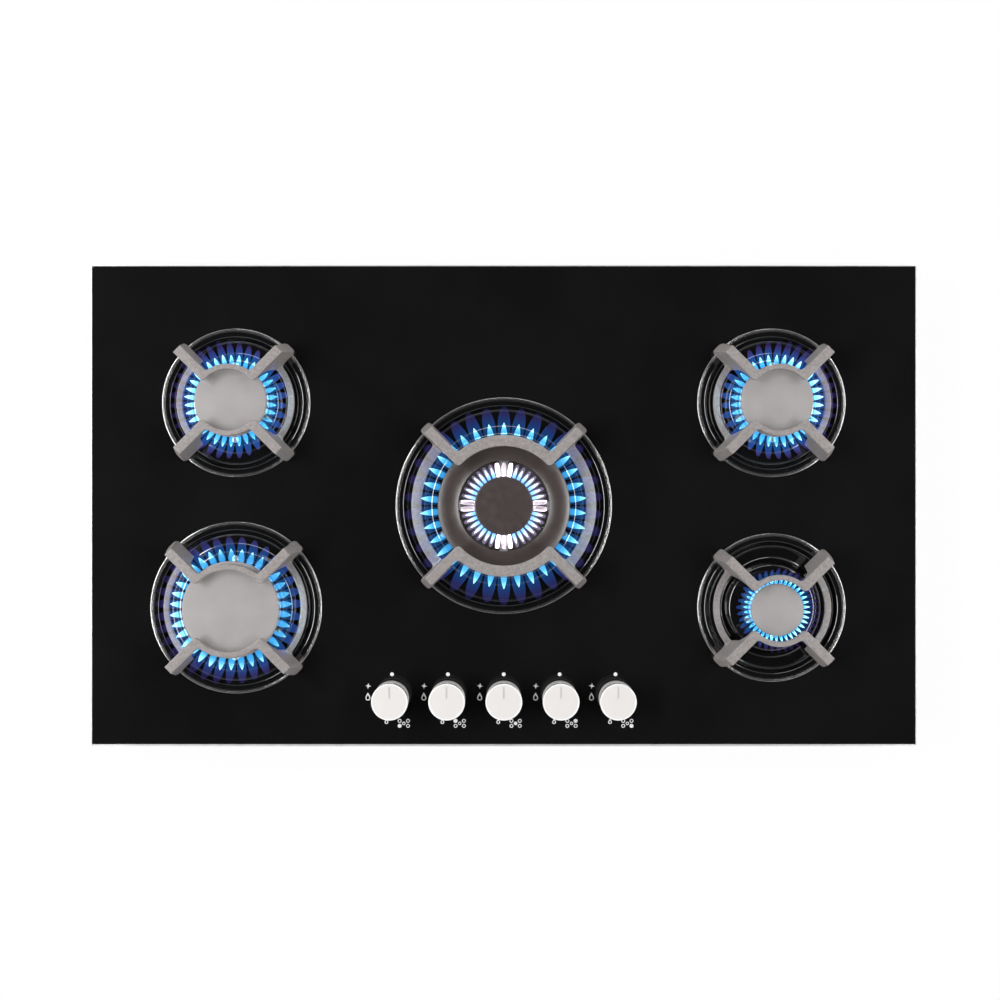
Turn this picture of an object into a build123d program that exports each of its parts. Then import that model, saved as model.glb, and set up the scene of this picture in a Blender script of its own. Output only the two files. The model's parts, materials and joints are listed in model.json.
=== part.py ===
from build123d import *

import os
from math import cos, hypot, pi, radians, sin

# Built-in gas cooktop: five burners on a black glass top, with a sheet-steel tray under it.
# Millimetres. Origin: centre of the tray's underside. +Z up, +X right, the knobs lie towards -Y.
# Heights called *_z are above the tray's underside. Heights called *_h are above the glass.

os.makedirs("parts", exist_ok=True)

# ---------------------------------------------------------------- glass top and its edge strip
panel_length = 860.0
panel_depth = 501.0
glass_thickness = 8.0
glass_bevel = 0.8
trim_wall = 1.0
trim_front_wall = 2.0
trim_sheet = 1.0
trim_lip = 4.5
seal_width = 8.0
seal_thickness = 3.0
seal_to_tray = 1.0

# ---------------------------------------------------------------- base tray
tray_inset = 16.0
tray_height = 46.0
tray_sheet = 0.8
tray_flange = 9.0
tray_corner_radius = 14.0
inlet_recess_length = 80.0
inlet_recess_depth = 30.0
vent_length = 40.0
vent_width = 4.0
vent_pitch = 12.0
vent_count = 6
vent_group_x = 150.0
vent_group_y = 0.0

# ---------------------------------------------------------------- burner places
burner_from_side = 151.5
rear_burner_y = 107.0
front_burner_y = -106.0

# ---------------------------------------------------------------- burner sizes
aux_cap_radius = 26.7
semi_cap_radius = 36.8
rapid_cap_radius = 49.6
wok_cap_radius = 67.3
wok_channel_radius = 46.2
wok_centre_cap_radius = 29.8
semi_ring_radius = 77.2
rapid_ring_radius = 89.3
wok_ring_radius = 112.6
semi_plateau_radius = 43.8
rapid_plateau_radius = 58.4
wok_plateau_radius = 75.0
aux_ports = 38
semi_ports = 34
rapid_ports = 34
wok_ports = 34
wok_centre_ports = 38

# ---------------------------------------------------------------- chrome ring and spill bowl
ring_width = 3.0
ring_height = 1.6
ring_chamfer = 0.5
bowl_sheet = 1.0
bowl_flange = 5.2
bowl_slope_run = 4.4
bowl_trough_h = -6.0
bowl_rise_run = 8.2
bowl_plateau_h = 3.0
bowl_to_glass = 1.0

# ---------------------------------------------------------------- burner cup
cup_wall = 4.0
cup_neck_step = 1.5
cup_neck_h = 8.0
cup_collar_margin = 2.2
cup_collar_height = 4.0
cup_floor_thickness = 5.0
cup_to_pipe = 2.0
cup_boss_radius = 9.0
cup_boss_drop = 12.0
cup_hub_height = 6.0

# ---------------------------------------------------------------- flame crown and cap
crown_wall = 4.0
crown_floor = 3.0
crown_rim_h = 23.8
crown_under_cap = 1.5
crown_spigot = 4.0
crown_spigot_wall = 2.0
venturi_radius = 11.0
venturi_bore = 7.5
venturi_bottom_h = -18.0
port_depth = 6.0
port_share = 0.5
cap_top_h = 28.8
cap_dome = 0.8
cap_round = 2.2
cap_lip = 3.0
cap_lip_wall = 2.5
cap_recess = 1.2
wok_cap_inner_drop = 2.0
wok_cap_outer_drop = 0.3
wok_cap_sag = 3.0
wok_cap_inner_round = 0.6
wok_cap_outer_round = 1.0
wok_arm_width = 9.0
wok_arm_height = 4.0
wok_arm_root = 1.0
wok_feed_radius = 3.0

# ---------------------------------------------------------------- pan supports
support_top_h = 40.0
arc_depth = 6.0
finger_depth = 9.0
finger_width = 10.0
finger_haunch = 5.0
finger_run_in = 4.0
foot_width = 13.5
foot_overhang = 4.0
foot_slope_run = 8.5
foot_toe = 3.0
leg_lean = 6.0
base_arc_depth = 4.0
support_corner = 4.0
knuckle_radius = 4.2
foot_round = 3.5
probe_radius = 0.2
small_arc_radius = 31.0
small_arc_width = 5.4
small_base_radius = 54.5
small_base_width = 6.8
rapid_arc_radius = 41.4
rapid_arc_width = 5.9
rapid_base_radius = 68.2
rapid_base_width = 6.2
wok_arc_radius = 60.3
wok_arc_width = 11.2
wok_base_radius = 85.3
wok_base_width = 10.7

# ---------------------------------------------------------------- burner fittings
fitting_offset = 4.6
screw_shank = 1.95
screw_length = 8.0
screw_head_radius = 3.6
screw_head_height = 2.0
screw_angles = (90.0, 270.0)
electrode_angle = 205.0
electrode_radius = 2.5
electrode_top_h = 12.0
electrode_bottom_h = -22.0
electrode_tip_radius = 0.9
electrode_tip_h = 19.0
electrode_flange_radius = 3.4
electrode_flange_height = 1.0
thermocouple_angle = 335.0
thermocouple_radius = 2.4
thermocouple_top_h = 20.0
thermocouple_bottom_h = -26.0
thermocouple_nose = 1.0
thermocouple_collar_height = 2.0
injector_thread = 3.45
injector_head = 5.0
injector_head_height = 4.0
injector_depth = 8.0
injector_jet = 0.6

# ---------------------------------------------------------------- burner brackets
bracket_sheet = 1.2
bracket_width = 34.0
bracket_reach = 12.0
bracket_foot = 12.0
bracket_hole_gap = 1.0

# ---------------------------------------------------------------- knobs and gas taps
knob_pitch = 58.2
knob_from_front = 50.9
knob_count = 5
knob_top_radius = 18.7
knob_base_radius = 18.1
knob_lift = 3.8
knob_top_h = 29.5
knob_chamfer = 1.2
knob_wall = 2.3
knob_line_h = 17.0
knob_line_width = 0.8
knob_line_depth = 0.6
knob_roof = 4.0
knob_hub_radius = 7.0
knob_hub_h = 6.5
pointer_width = 1.6
pointer_depth = 0.5
pointer_start = 3.5
pointer_end = 15.5
spindle_radius = 4.0
spindle_flat = 3.0
spindle_top_h = 20.0
spindle_bottom_z = 17.0
glass_hole_radius = 7.0
knob_seal_radius = 10.0
knob_seal_height = 2.0
knob_seal_bevel = 0.8
tap_width = 24.0
tap_depth = 26.0
tap_bottom_z = 4.0
tap_to_glass = 12.0
tap_floor = 1.6
tap_chamfer = 3.0
plug_top_radius = 8.0
plug_bottom_radius = 6.5
plug_height = 15.5
plug_sink = 0.5
tap_outlet_radius = 5.2
tap_outlet_length = 8.0
tap_to_rail = 22.0
tap_clamp_radius = 10.0
tap_clamp_length = 16.0
tap_neck_height = 16.0
tap_bracket_margin = 20.0

# ---------------------------------------------------------------- gas pipes
pipe_radius = 4.0
pipe_bore = 3.0
pipe_z = 9.0
pipe_socket = 4.0
pipe_bend = 30.0
rail_radius = 6.0
rail_bore = 4.5
rail_z = 22.0
rail_end = 20.0
rail_from_side = 44.0
rail_bend = 20.0
inlet_nut_radius = 12.0
inlet_nut_length = 14.0
inlet_hex = 15.0
inlet_hex_length = 6.0
inlet_thread_radius = 10.48
inlet_thread_length = 16.0
inlet_bore = 4.5
inlet_socket = 8.0
rail_plug_length = 3.0

# ---------------------------------------------------------------- ignition
switch_bar_width = 12.0
switch_bar_height = 3.0
switch_box_length = 16.0
switch_box_width = 10.0
switch_box_height = 8.0
switch_hole = 5.0
switch_hub_radius = 10.0
switch_hub_gap = 2.0
generator_from_side = 199.0
generator_from_knobs = 15.6
generator_length = 64.0
generator_depth = 34.0
generator_height = 22.0
generator_terminals = 6
terminal_radius = 2.2
terminal_height = 4.0
generator_corner = 3.0

# ---------------------------------------------------------------- hold-down clamps
clamp_from_side = 114.0
recess_clamp_from_side = 174.0
clamp_width = 18.0
clamp_sheet = 1.5
clamp_inside = 26.0
clamp_outside = 5.0
clamp_hook_run = 7.0
clamp_hook_rise = 7.0
clamp_pocket_height = 5.0
clamp_pocket_width = 24.0
clamp_pocket_depth = 34.0
clamp_screw_inset = 14.0

# ---------------------------------------------------------------- clearances
fit_gap = 0.1
running_gap = 0.05
loose_gap = 0.4

# ---------------------------------------------------------------- levels and lines that follow
glass_z = tray_height + glass_thickness
glass_length = panel_length - 2 * trim_wall
glass_depth = panel_depth - trim_wall - trim_front_wall
glass_y = (trim_front_wall - trim_wall) / 2
tray_length = panel_length - 2 * tray_inset
tray_depth = panel_depth - 2 * tray_inset
burner_x = panel_length / 2 - burner_from_side
cup_bottom_h = pipe_z + pipe_radius + cup_to_pipe - glass_z
cup_floor_h = cup_bottom_h + cup_floor_thickness
boss_bottom_h = cup_bottom_h - cup_boss_drop
crown_seat_h = cup_neck_h
foot_h = ring_height
knob_y = knob_from_front - panel_depth / 2
knob_xs = [(i - (knob_count - 1) / 2) * knob_pitch for i in range(knob_count)]
tap_top_z = tray_height - tap_to_glass
rail_x = tray_length / 2 - rail_from_side
rail_y = knob_y - tap_to_rail
tap_outlet_y = knob_y + tap_depth / 2 + tap_outlet_length


def turned(points):
    """Solid of revolution about Z from a closed (radius, height) outline."""
    face = make_face(Polyline(*points, close=True))
    return revolve(Plane.XZ * face, Axis.Z)


def disc(radius, bottom, top):
    """Upright cylinder about the Z axis between two heights."""
    return Pos(0, 0, bottom) * Cylinder(radius, top - bottom, align=(Align.CENTER, Align.CENTER, Align.MIN))


def block(x0, x1, y0, y1, z0, z1):
    """Box between two corners."""
    return Pos(x0, y0, z0) * Box(x1 - x0, y1 - y0, z1 - z0, align=(Align.MIN, Align.MIN, Align.MIN))


def save(shape, node):
    export_step(shape, f"parts/{node}.step")


def group(shapes):
    """Several separate solids in one node."""
    return Compound(children=[solid for shape in shapes for solid in shape.solids()])


# ================================================================ one record per burner
class Burner:
    """Sizes and place of one burner. toward is the side that its pipe comes from, in degrees."""

    def __init__(self, name, x, y, cap, ring, plateau, ports, toward):
        self.name = name
        self.x = x
        self.y = y
        self.cap = cap
        self.ring = ring
        self.plateau = plateau
        self.ports = ports
        self.toward = toward
        self.crown = cap - crown_under_cap
        self.neck = self.crown - cup_neck_step
        self.bore = self.neck - cup_wall
        self.fitting = self.neck + fitting_offset
        self.glass_hole = ring - ring_width - bowl_flange + bowl_to_glass

    def place(self, shape):
        """Move a shape built about the Z axis, with heights above the glass, to this burner."""
        return Pos(self.x, self.y, glass_z) * shape


rear_left = Burner("rear_left", -burner_x, rear_burner_y, semi_cap_radius, semi_ring_radius,
                   semi_plateau_radius, semi_ports, 0)
rear_right = Burner("rear_right", burner_x, rear_burner_y, semi_cap_radius, semi_ring_radius,
                    semi_plateau_radius, semi_ports, 180)
front_left = Burner("front_left", -burner_x, front_burner_y, rapid_cap_radius, rapid_ring_radius,
                    rapid_plateau_radius, rapid_ports, 0)
front_right = Burner("front_right", burner_x, front_burner_y, aux_cap_radius, semi_ring_radius,
                     semi_plateau_radius, aux_ports, 180)
wok = Burner("wok", 0, 0, wok_cap_radius, wok_ring_radius, wok_plateau_radius, wok_ports, 270)
burners = [rear_left, rear_right, front_left, front_right, wok]
round_burners = [rear_left, rear_right, front_left, front_right]


# ================================================================ glass, edge strip, seal
def glass_panel():
    glass = Box(glass_length, glass_depth, glass_thickness)
    glass = Pos(0, glass_y, tray_height + glass_thickness / 2) * glass
    top_edges = glass.faces().sort_by(Axis.Z)[-1].edges()
    glass = chamfer(top_edges, glass_bevel)
    reach = 2 * glass_thickness
    holes = [burner.place(disc(burner.glass_hole, -reach, reach)) for burner in burners]
    holes += [Pos(x, knob_y, glass_z) * disc(glass_hole_radius, -reach, reach) for x in knob_xs]
    return glass - holes


def trim_strip(length, wall):
    """L-section strip along X, outer face at y = 0, mitred at both ends."""
    outline = [(0, -trim_sheet), (0, glass_thickness), (wall, glass_thickness), (wall, 0),
               (wall + trim_lip, 0), (wall + trim_lip, -trim_sheet)]
    face = make_face(Polyline(*outline, close=True))
    strip = extrude(Plane.YZ * face, length / 2, both=True)
    corner = wall + trim_lip + glass_thickness
    for side in (-1, 1):
        wedge = make_face(Polyline((side * length / 2, 0), (side * (length / 2 - corner), corner),
                                   (side * (length / 2 + corner), corner), close=True))
        strip -= extrude(Plane.XY * wedge, 2 * glass_thickness, both=True)
    return strip


def edge_trim():
    front = Pos(0, -panel_depth / 2, tray_height) * trim_strip(panel_length, trim_front_wall)
    back = Pos(0, panel_depth / 2, tray_height) * Rot(0, 0, 180) * trim_strip(panel_length, trim_wall)
    left = Pos(-panel_length / 2, 0, tray_height) * Rot(0, 0, -90) * trim_strip(panel_depth, trim_wall)
    right = Pos(panel_length / 2, 0, tray_height) * Rot(0, 0, 90) * trim_strip(panel_depth, trim_wall)
    return group([front, back, left, right])


def worktop_seal():
    """Foam strips under the glass rim, butted at the corners, just outside the tray."""
    x_in = tray_length / 2 + seal_to_tray
    y_in = tray_depth / 2 + seal_to_tray
    x_out = x_in + seal_width
    y_out = y_in + seal_width
    low = tray_height - seal_thickness
    strips = []
    for side in (-1, 1):
        strips.append(block(-x_out, x_out, *sorted((side * y_in, side * y_out)), low, tray_height))
        strips.append(block(*sorted((side * x_in, side * x_out)), -y_in, y_in, low, tray_height))
    return group(strips)


# ================================================================ base tray
def tray_plan(inset):
    """Outline of the tray, inset from its outer wall, with the inlet recess at the rear right corner."""
    half_x = tray_length / 2 - inset
    half_y = tray_depth / 2 - inset
    recess_x = tray_length / 2 - inlet_recess_length - inset
    recess_y = tray_depth / 2 - inlet_recess_depth - inset
    outline = [(-half_x, -half_y), (half_x, -half_y), (half_x, recess_y), (recess_x, recess_y),
               (recess_x, half_y), (-half_x, half_y)]
    face = make_face(Polyline(*outline, close=True))
    corners = [v for v in face.vertices() if abs(v.Y - recess_y) > tray_sheet]
    return fillet(corners, tray_corner_radius - inset)


def clamp_places():
    """(x, y, direction) of each hold-down clamp: two along the front wall and two along the back."""
    half_y = tray_depth / 2
    side_x = tray_length / 2 - clamp_from_side
    recess_x = tray_length / 2 - recess_clamp_from_side
    return [(-side_x, -half_y, -1), (side_x, -half_y, -1), (-side_x, half_y, 1), (recess_x, half_y, 1)]


def clamp_pocket(x, y, way, grow):
    """Space pressed up into the tray floor for a clamp, open through the wall."""
    half = clamp_pocket_width / 2 + grow
    inner = y - way * (clamp_pocket_depth + grow)
    outer = y + way * 2 * tray_sheet
    low_y, high_y = sorted((inner, outer))
    return block(x - half, x + half, low_y, high_y, -tray_sheet, clamp_pocket_height + grow)


def base_tray():
    shell = extrude(tray_plan(0), tray_height)
    space = Pos(0, 0, tray_sheet) * extrude(tray_plan(tray_sheet), tray_height - 2 * tray_sheet)
    mouth = extrude(tray_plan(tray_sheet + tray_flange), 2 * tray_height)
    cut = space + Pos(0, 0, tray_sheet) * mouth
    for x, y, way in clamp_places():
        cut -= clamp_pocket(x, y, way, tray_sheet)
        shell -= clamp_pocket(x, y, way, 0)
        hole = disc(screw_shank + fit_gap, 0, 2 * clamp_pocket_height)
        shell -= Pos(x, y - way * clamp_screw_inset, 0) * hole
    tray = shell - cut
    slot = extrude(SlotOverall(vent_length, vent_width), 4 * tray_sheet, both=True)
    slots = []
    for side in (-1, 1):
        for i in range(vent_count):
            y = vent_group_y + (i - (vent_count - 1) / 2) * vent_pitch
            slots.append(Pos(side * vent_group_x, y, 0) * slot)
    inlet = Pos(rail_x, recess_wall_y(), rail_z) * Rot(90, 0, 0)
    slots.append(inlet * Cylinder(inlet_thread_radius + loose_gap, 6 * tray_sheet))
    return tray - slots


def recess_wall_y():
    """Outer face of the tray wall in the inlet recess."""
    return tray_depth / 2 - inlet_recess_depth


# ================================================================ chrome ring and spill bowl
def trim_ring(burner):
    outer = burner.ring
    inner = burner.ring - ring_width
    return turned([(inner, 0), (outer, 0), (outer, ring_height - ring_chamfer),
                   (outer - ring_chamfer, ring_height), (inner + ring_chamfer, ring_height),
                   (inner, ring_height - ring_chamfer)])


def fitting_holes(burner, radius, bottom, top):
    """Upright holes through which the electrode, thermocouple and screws of one burner pass."""
    angles = (electrode_angle, thermocouple_angle) + screw_angles
    return [Rot(0, 0, angle) * Pos(burner.fitting, 0, 0) * disc(radius, bottom, top) for angle in angles]


def spill_bowl(burner):
    edge = burner.ring - ring_width - fit_gap
    lip = edge - bowl_flange + fit_gap
    slope_end = lip - bowl_slope_run
    rise_start = burner.plateau + bowl_rise_run
    hole = burner.neck + loose_gap
    top = [(edge, bowl_sheet), (lip, bowl_sheet), (slope_end, bowl_trough_h), (rise_start, bowl_trough_h),
           (burner.plateau, bowl_plateau_h), (hole, bowl_plateau_h)]
    under = [(r, h - bowl_sheet) for r, h in reversed(top)]
    bowl = turned(top + under)
    holes = fitting_holes(burner, electrode_radius + loose_gap, 0, 2 * bowl_plateau_h)
    return bowl - holes


# ================================================================ burner cup and injector
def burner_cup(burner):
    collar_top = bowl_plateau_h - bowl_sheet
    collar_low = collar_top - cup_collar_height
    collar = burner.plateau - cup_collar_margin
    hub_top = cup_floor_h + cup_hub_height
    thread = injector_thread + running_gap
    well = boss_bottom_h + pipe_socket
    outline = [(burner.bore, cup_neck_h), (burner.neck, cup_neck_h), (burner.neck, collar_top),
               (collar, collar_top), (collar, collar_low), (burner.neck, collar_low),
               (burner.neck, cup_bottom_h), (cup_boss_radius, cup_bottom_h),
               (cup_boss_radius, boss_bottom_h), (0, boss_bottom_h), (0, well), (thread, well),
               (thread, hub_top), (cup_boss_radius, hub_top), (cup_boss_radius, cup_floor_h),
               (burner.bore, cup_floor_h)]
    cup = turned(outline)
    socket = Rot(0, 90, 0) * Cylinder(pipe_radius + running_gap, 2 * pipe_socket)
    passage = Rot(0, 90, 0) * Cylinder(pipe_bore, cup_boss_radius)
    gas_h = pipe_z - glass_z
    cup -= Rot(0, 0, burner.toward) * Pos(cup_boss_radius, 0, gas_h) * socket
    cup -= Rot(0, 0, burner.toward) * Pos(cup_boss_radius / 2, 0, gas_h) * passage
    holes = fitting_holes(burner, electrode_radius + fit_gap, 2 * collar_low, bowl_plateau_h)[:2]
    holes += fitting_holes(burner, screw_shank + fit_gap, 2 * collar_low, bowl_plateau_h)[2:]
    return cup - holes


def injector():
    """Brass jet screwed into the hub of the cup."""
    seat = cup_floor_h + cup_hub_height
    head = Pos(0, 0, seat) * extrude(RegularPolygon(injector_head, 6), injector_head_height)
    stem = disc(injector_thread, seat - injector_depth, seat)
    return head + stem - disc(injector_jet, seat - injector_depth, seat + injector_head_height)


# ================================================================ flame crowns
def port_cutters(radius, wall, count, depth):
    """Radial slots round a crown wall, open at its rim."""
    width = port_share * 2 * pi * radius / count
    cutter = Pos(radius - wall / 2, 0, crown_rim_h) * Box(1.5 * wall, width, 2 * depth)
    return [Rot(0, 0, 360 * (i + 0.5) / count) * cutter for i in range(count)]


def venturi_crown(radius):
    """Crown with a central mixing tube; heights above the glass."""
    floor_top = crown_seat_h + crown_floor
    inner = radius - crown_wall
    return turned([(radius, crown_seat_h), (radius, crown_rim_h), (inner, crown_rim_h),
                   (inner, floor_top), (venturi_bore, floor_top), (venturi_bore, venturi_bottom_h),
                   (venturi_radius, venturi_bottom_h), (venturi_radius, crown_seat_h)])


def spigot(burner):
    """Ring under the crown that locates it in the neck of the cup."""
    outer = burner.bore - loose_gap
    inner = outer - crown_spigot_wall
    low = crown_seat_h - crown_spigot
    return turned([(inner, low), (outer, low), (outer, crown_seat_h), (inner, crown_seat_h)])


def flame_crown(burner):
    crown = venturi_crown(burner.crown) + spigot(burner)
    return crown - port_cutters(burner.crown, crown_wall, burner.ports, port_depth)


def wok_crown():
    """Double crown: an annular channel for the outer flames joined by four arms to the centre crown."""
    outer = wok.crown
    inner = wok_channel_radius + crown_under_cap
    floor_top = crown_seat_h + crown_floor
    channel = turned([(inner, crown_seat_h), (outer, crown_seat_h), (outer, crown_rim_h),
                      (outer - crown_wall, crown_rim_h), (outer - crown_wall, floor_top),
                      (inner + crown_wall, floor_top), (inner + crown_wall, crown_rim_h),
                      (inner, crown_rim_h)])
    centre_radius = wok_centre_cap_radius - crown_under_cap
    centre = venturi_crown(centre_radius)
    half_width = wok_arm_width / 2
    arm = block(centre_radius - wok_arm_root, inner + wok_arm_root, -half_width, half_width,
                crown_seat_h, crown_seat_h + wok_arm_height)
    crown = channel + spigot(wok) + centre
    crown += [Rot(0, 0, 90 * i) * arm for i in range(4)]
    feed_place = (inner + outer) / 2
    feed = Pos(feed_place, 0, 0) * disc(wok_feed_radius, 0, crown_rim_h)
    crown -= [Rot(0, 0, 45 + 90 * i) * feed for i in range(4)]
    crown -= port_cutters(outer, crown_wall, wok.ports, port_depth)
    crown -= port_cutters(centre_radius, crown_wall, wok_centre_ports, port_depth)
    return crown


# ================================================================ burner caps
def turned_profile(top, rest, rounds):
    """Solid of revolution under a curved top edge. rounds gives the corners of top to round."""
    face = make_face([top, Polyline(top @ 1, *rest, top @ 0)])
    for corner, radius in rounds:
        vertex = face.vertices().sort_by_distance((*corner, 0))[0]
        face = fillet(vertex, radius)
    return revolve(Plane.XZ * face, Axis.Z)


def burner_cap(radius):
    """Domed cap with a rounded edge and a locating lip that drops inside the crown wall."""
    edge_h = cap_top_h - cap_dome
    lip_out = radius - crown_under_cap - crown_wall - loose_gap
    lip_in = lip_out - cap_lip_wall
    low = crown_rim_h - cap_lip
    roof = crown_rim_h + cap_recess
    dome = ThreePointArc((0, cap_top_h), (radius / 2, cap_top_h - cap_dome / 4), (radius, edge_h))
    under = [(radius, crown_rim_h), (lip_out, crown_rim_h), (lip_out, low), (lip_in, low), (lip_in, roof),
             (0, roof)]
    return turned_profile(dome, under, [((radius, edge_h), cap_round)])


def wok_ring_cap():
    """Annular cap with a dished top over the outer channel."""
    outer = wok.cap
    inner = wok_channel_radius
    inner_h = cap_top_h - wok_cap_inner_drop
    outer_h = cap_top_h - wok_cap_outer_drop
    lip_out = wok.crown - crown_wall - loose_gap
    lip_in = inner + crown_under_cap + crown_wall + loose_gap
    low = crown_rim_h - cap_lip
    dish = ThreePointArc((inner, inner_h), ((inner + outer) / 2, cap_top_h - wok_cap_sag), (outer, outer_h))
    under = [(outer, crown_rim_h)]
    for near, far in ((lip_out, lip_out - cap_lip_wall), (lip_in + cap_lip_wall, lip_in)):
        under += [(near, crown_rim_h), (near, low), (far, low), (far, crown_rim_h)]
    under.append((inner, crown_rim_h))
    rounds = [((inner, inner_h), wok_cap_inner_round), ((outer, outer_h), wok_cap_outer_round)]
    return turned_profile(dish, under, rounds)


# ================================================================ pan supports
def arc_band(radius, width, start, sweep):
    """Flat ring sector about the origin."""
    inner = radius
    outer = radius + width

    def at(r, angle):
        return (r * cos(radians(angle)), r * sin(radians(angle)))

    middle = start + sweep / 2
    end = start + sweep
    outer_arc = ThreePointArc(at(outer, start), at(outer, middle), at(outer, end))
    inner_arc = ThreePointArc(at(inner, end), at(inner, middle), at(inner, start))
    ends = [Line(at(outer, end), at(inner, end)), Line(at(inner, start), at(outer, start))]
    return make_face([outer_arc, inner_arc] + ends)


def rounded_union(parts, radius_limit):
    """Union of flat faces with its concave corners rounded."""
    face = parts[0]
    for part in parts[1:]:
        face = face + part
    concave = [v for v in face.vertices() if is_concave(face, v)]
    return fillet(concave, radius_limit)


def is_concave(face, vertex):
    """True where clearly more than half of a small circle round the vertex lies on the face."""
    probes = 16
    inside = 0
    for i in range(probes):
        angle = 2 * pi * (i + 0.3) / probes
        probe = Vector(vertex.X + probe_radius * cos(angle), vertex.Y + probe_radius * sin(angle), 0)
        if face.face().is_inside(probe):
            inside += 1
    return inside > probes / 2 + 1


def knuckles(bridge, arc_radius):
    """Corners where the bars of a bridge end, over the cap."""
    reach = hypot(arc_radius, finger_width / 2)
    return [v for v in bridge.vertices() if abs(hypot(v.X, v.Y) - reach) < probe_radius / 4]


def finger(arc_radius, base_radius, foot_radius):
    """One finger along +X: a flat bar on top, a leg that drops to the foot, flared towards the foot."""
    start = arc_radius + finger_width / 2
    bar_low = support_top_h - finger_depth
    leg_top = base_radius - leg_lean
    fold = foot_radius - foot_slope_run
    side = [(start, support_top_h), (fold, support_top_h), (foot_radius, foot_h + foot_toe),
            (foot_radius, foot_h), (base_radius, foot_h), (leg_top, bar_low - finger_haunch),
            (leg_top - finger_haunch, bar_low), (start + finger_run_in, support_top_h - arc_depth),
            (start, support_top_h - arc_depth)]
    web = extrude(Plane.XZ * make_face(Polyline(*side, close=True)), foot_width, both=True)
    top_half = finger_width / 2
    foot_half = foot_width / 2
    across = [(-top_half, support_top_h), (top_half, support_top_h), (top_half, bar_low),
              (foot_half, foot_h), (-foot_half, foot_h), (-top_half, bar_low)]
    sleeve = extrude(Plane.YZ * make_face(Polyline(*across, close=True)), 2 * foot_radius)
    plan = Pos(foot_radius / 2, 0) * Rectangle(foot_radius, foot_width)
    plan = fillet(plan.vertices().sort_by(Axis.X)[-2:], foot_round)
    return web & sleeve & extrude(plan, support_top_h)


def pan_support(burner, arc_radius, arc_width, base_radius, base_width):
    """One casting: two bridges over the burner, two arcs at the base and four fingers with feet."""
    foot_radius = burner.ring + foot_overhang
    fold = foot_radius - foot_slope_run
    bar = Pos((arc_radius + fold) / 2, 0) * Rectangle(fold - arc_radius, finger_width)
    foot = Pos((base_radius + foot_radius) / 2, 0) * Rectangle(foot_radius - base_radius, foot_width)
    foot = fillet(foot.vertices().sort_by(Axis.X)[-2:], foot_round)
    support = finger(arc_radius, base_radius, foot_radius)
    support = support + [Rot(0, 0, angle) * support for angle in (90, 180, 270)]
    support = Rot(0, 0, 45) * support
    for side in (0, 180):
        bridge = rounded_union([arc_band(arc_radius, arc_width, side + 45, 90), Rot(0, 0, side + 45) * bar,
                                Rot(0, 0, side + 135) * bar], support_corner)
        bridge = fillet(knuckles(bridge, arc_radius), knuckle_radius)
        support += Pos(0, 0, support_top_h - arc_depth) * extrude(bridge, arc_depth)
        low = rounded_union([arc_band(base_radius, base_width, side - 45, 90), Rot(0, 0, side - 45) * foot,
                             Rot(0, 0, side + 45) * foot], support_corner)
        support += Pos(0, 0, foot_h) * extrude(low, base_arc_depth)
    return support


# ================================================================ fittings beside the crown
def electrode(burner):
    """Ceramic spark electrode with a steel tip, held by its flange on the cup collar."""
    flange_h = bowl_plateau_h
    body = disc(electrode_radius, electrode_bottom_h, electrode_top_h)
    flange = disc(electrode_flange_radius, flange_h, flange_h + electrode_flange_height)
    tip = disc(electrode_tip_radius, electrode_top_h, electrode_tip_h)
    return Rot(0, 0, electrode_angle) * Pos(burner.fitting, 0, 0) * (body + flange + tip)


def thermocouple(burner):
    """Flame-failure probe with a tapered head and a hexagon collar."""
    neck = thermocouple_top_h - thermocouple_nose
    body = disc(thermocouple_radius, thermocouple_bottom_h, neck)
    head = Pos(0, 0, neck) * Cone(thermocouple_radius, thermocouple_radius - thermocouple_nose,
                                  thermocouple_nose, align=(Align.CENTER, Align.CENTER, Align.MIN))
    collar = Pos(0, 0, bowl_plateau_h) * extrude(RegularPolygon(electrode_flange_radius, 6),
                                                 thermocouple_collar_height)
    return Rot(0, 0, thermocouple_angle) * Pos(burner.fitting, 0, 0) * (body + head + collar)


def hexagon_screw():
    """Screw along -Z with the underside of its head at the origin."""
    head = extrude(RegularPolygon(screw_head_radius, 6), screw_head_height)
    return head + disc(screw_shank, -screw_length, 0)


def fixing_screws():
    """Identical screws: two in each cup collar, and one up through each clamp."""
    screws = []
    for burner in burners:
        for angle in screw_angles:
            place = Rot(0, 0, angle) * Pos(burner.fitting, 0, bowl_plateau_h)
            screws.append(burner.place(place * hexagon_screw()))
    for x, y, way in clamp_places():
        place = Pos(x, y - way * clamp_screw_inset, clamp_pocket_height - clamp_sheet)
        screws.append(place * Rot(180, 0, 0) * hexagon_screw())
    return group(screws)


# ================================================================ brackets under the cups
def burner_bracket(burner):
    """Pressed top-hat strip across the pipe's way in, from the tray floor to the cup's underside."""
    top_z = glass_z + cup_bottom_h
    reach = burner.neck + bracket_reach
    low = tray_sheet
    outline = [(-reach - bracket_foot, low), (-reach - bracket_foot, low + bracket_sheet),
               (-reach, low + bracket_sheet), (-reach, top_z), (reach, top_z), (reach, low + bracket_sheet),
               (reach + bracket_foot, low + bracket_sheet), (reach + bracket_foot, low),
               (reach - bracket_sheet, low), (reach - bracket_sheet, top_z - bracket_sheet),
               (-reach + bracket_sheet, top_z - bracket_sheet), (-reach + bracket_sheet, low)]
    strip = extrude(Plane.XZ * make_face(Polyline(*outline, close=True)), bracket_width / 2, both=True)
    strip -= disc(cup_boss_radius + bracket_hole_gap, 0, 2 * top_z)
    return Pos(burner.x, burner.y, 0) * Rot(0, 0, burner.toward + 90) * strip


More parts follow.
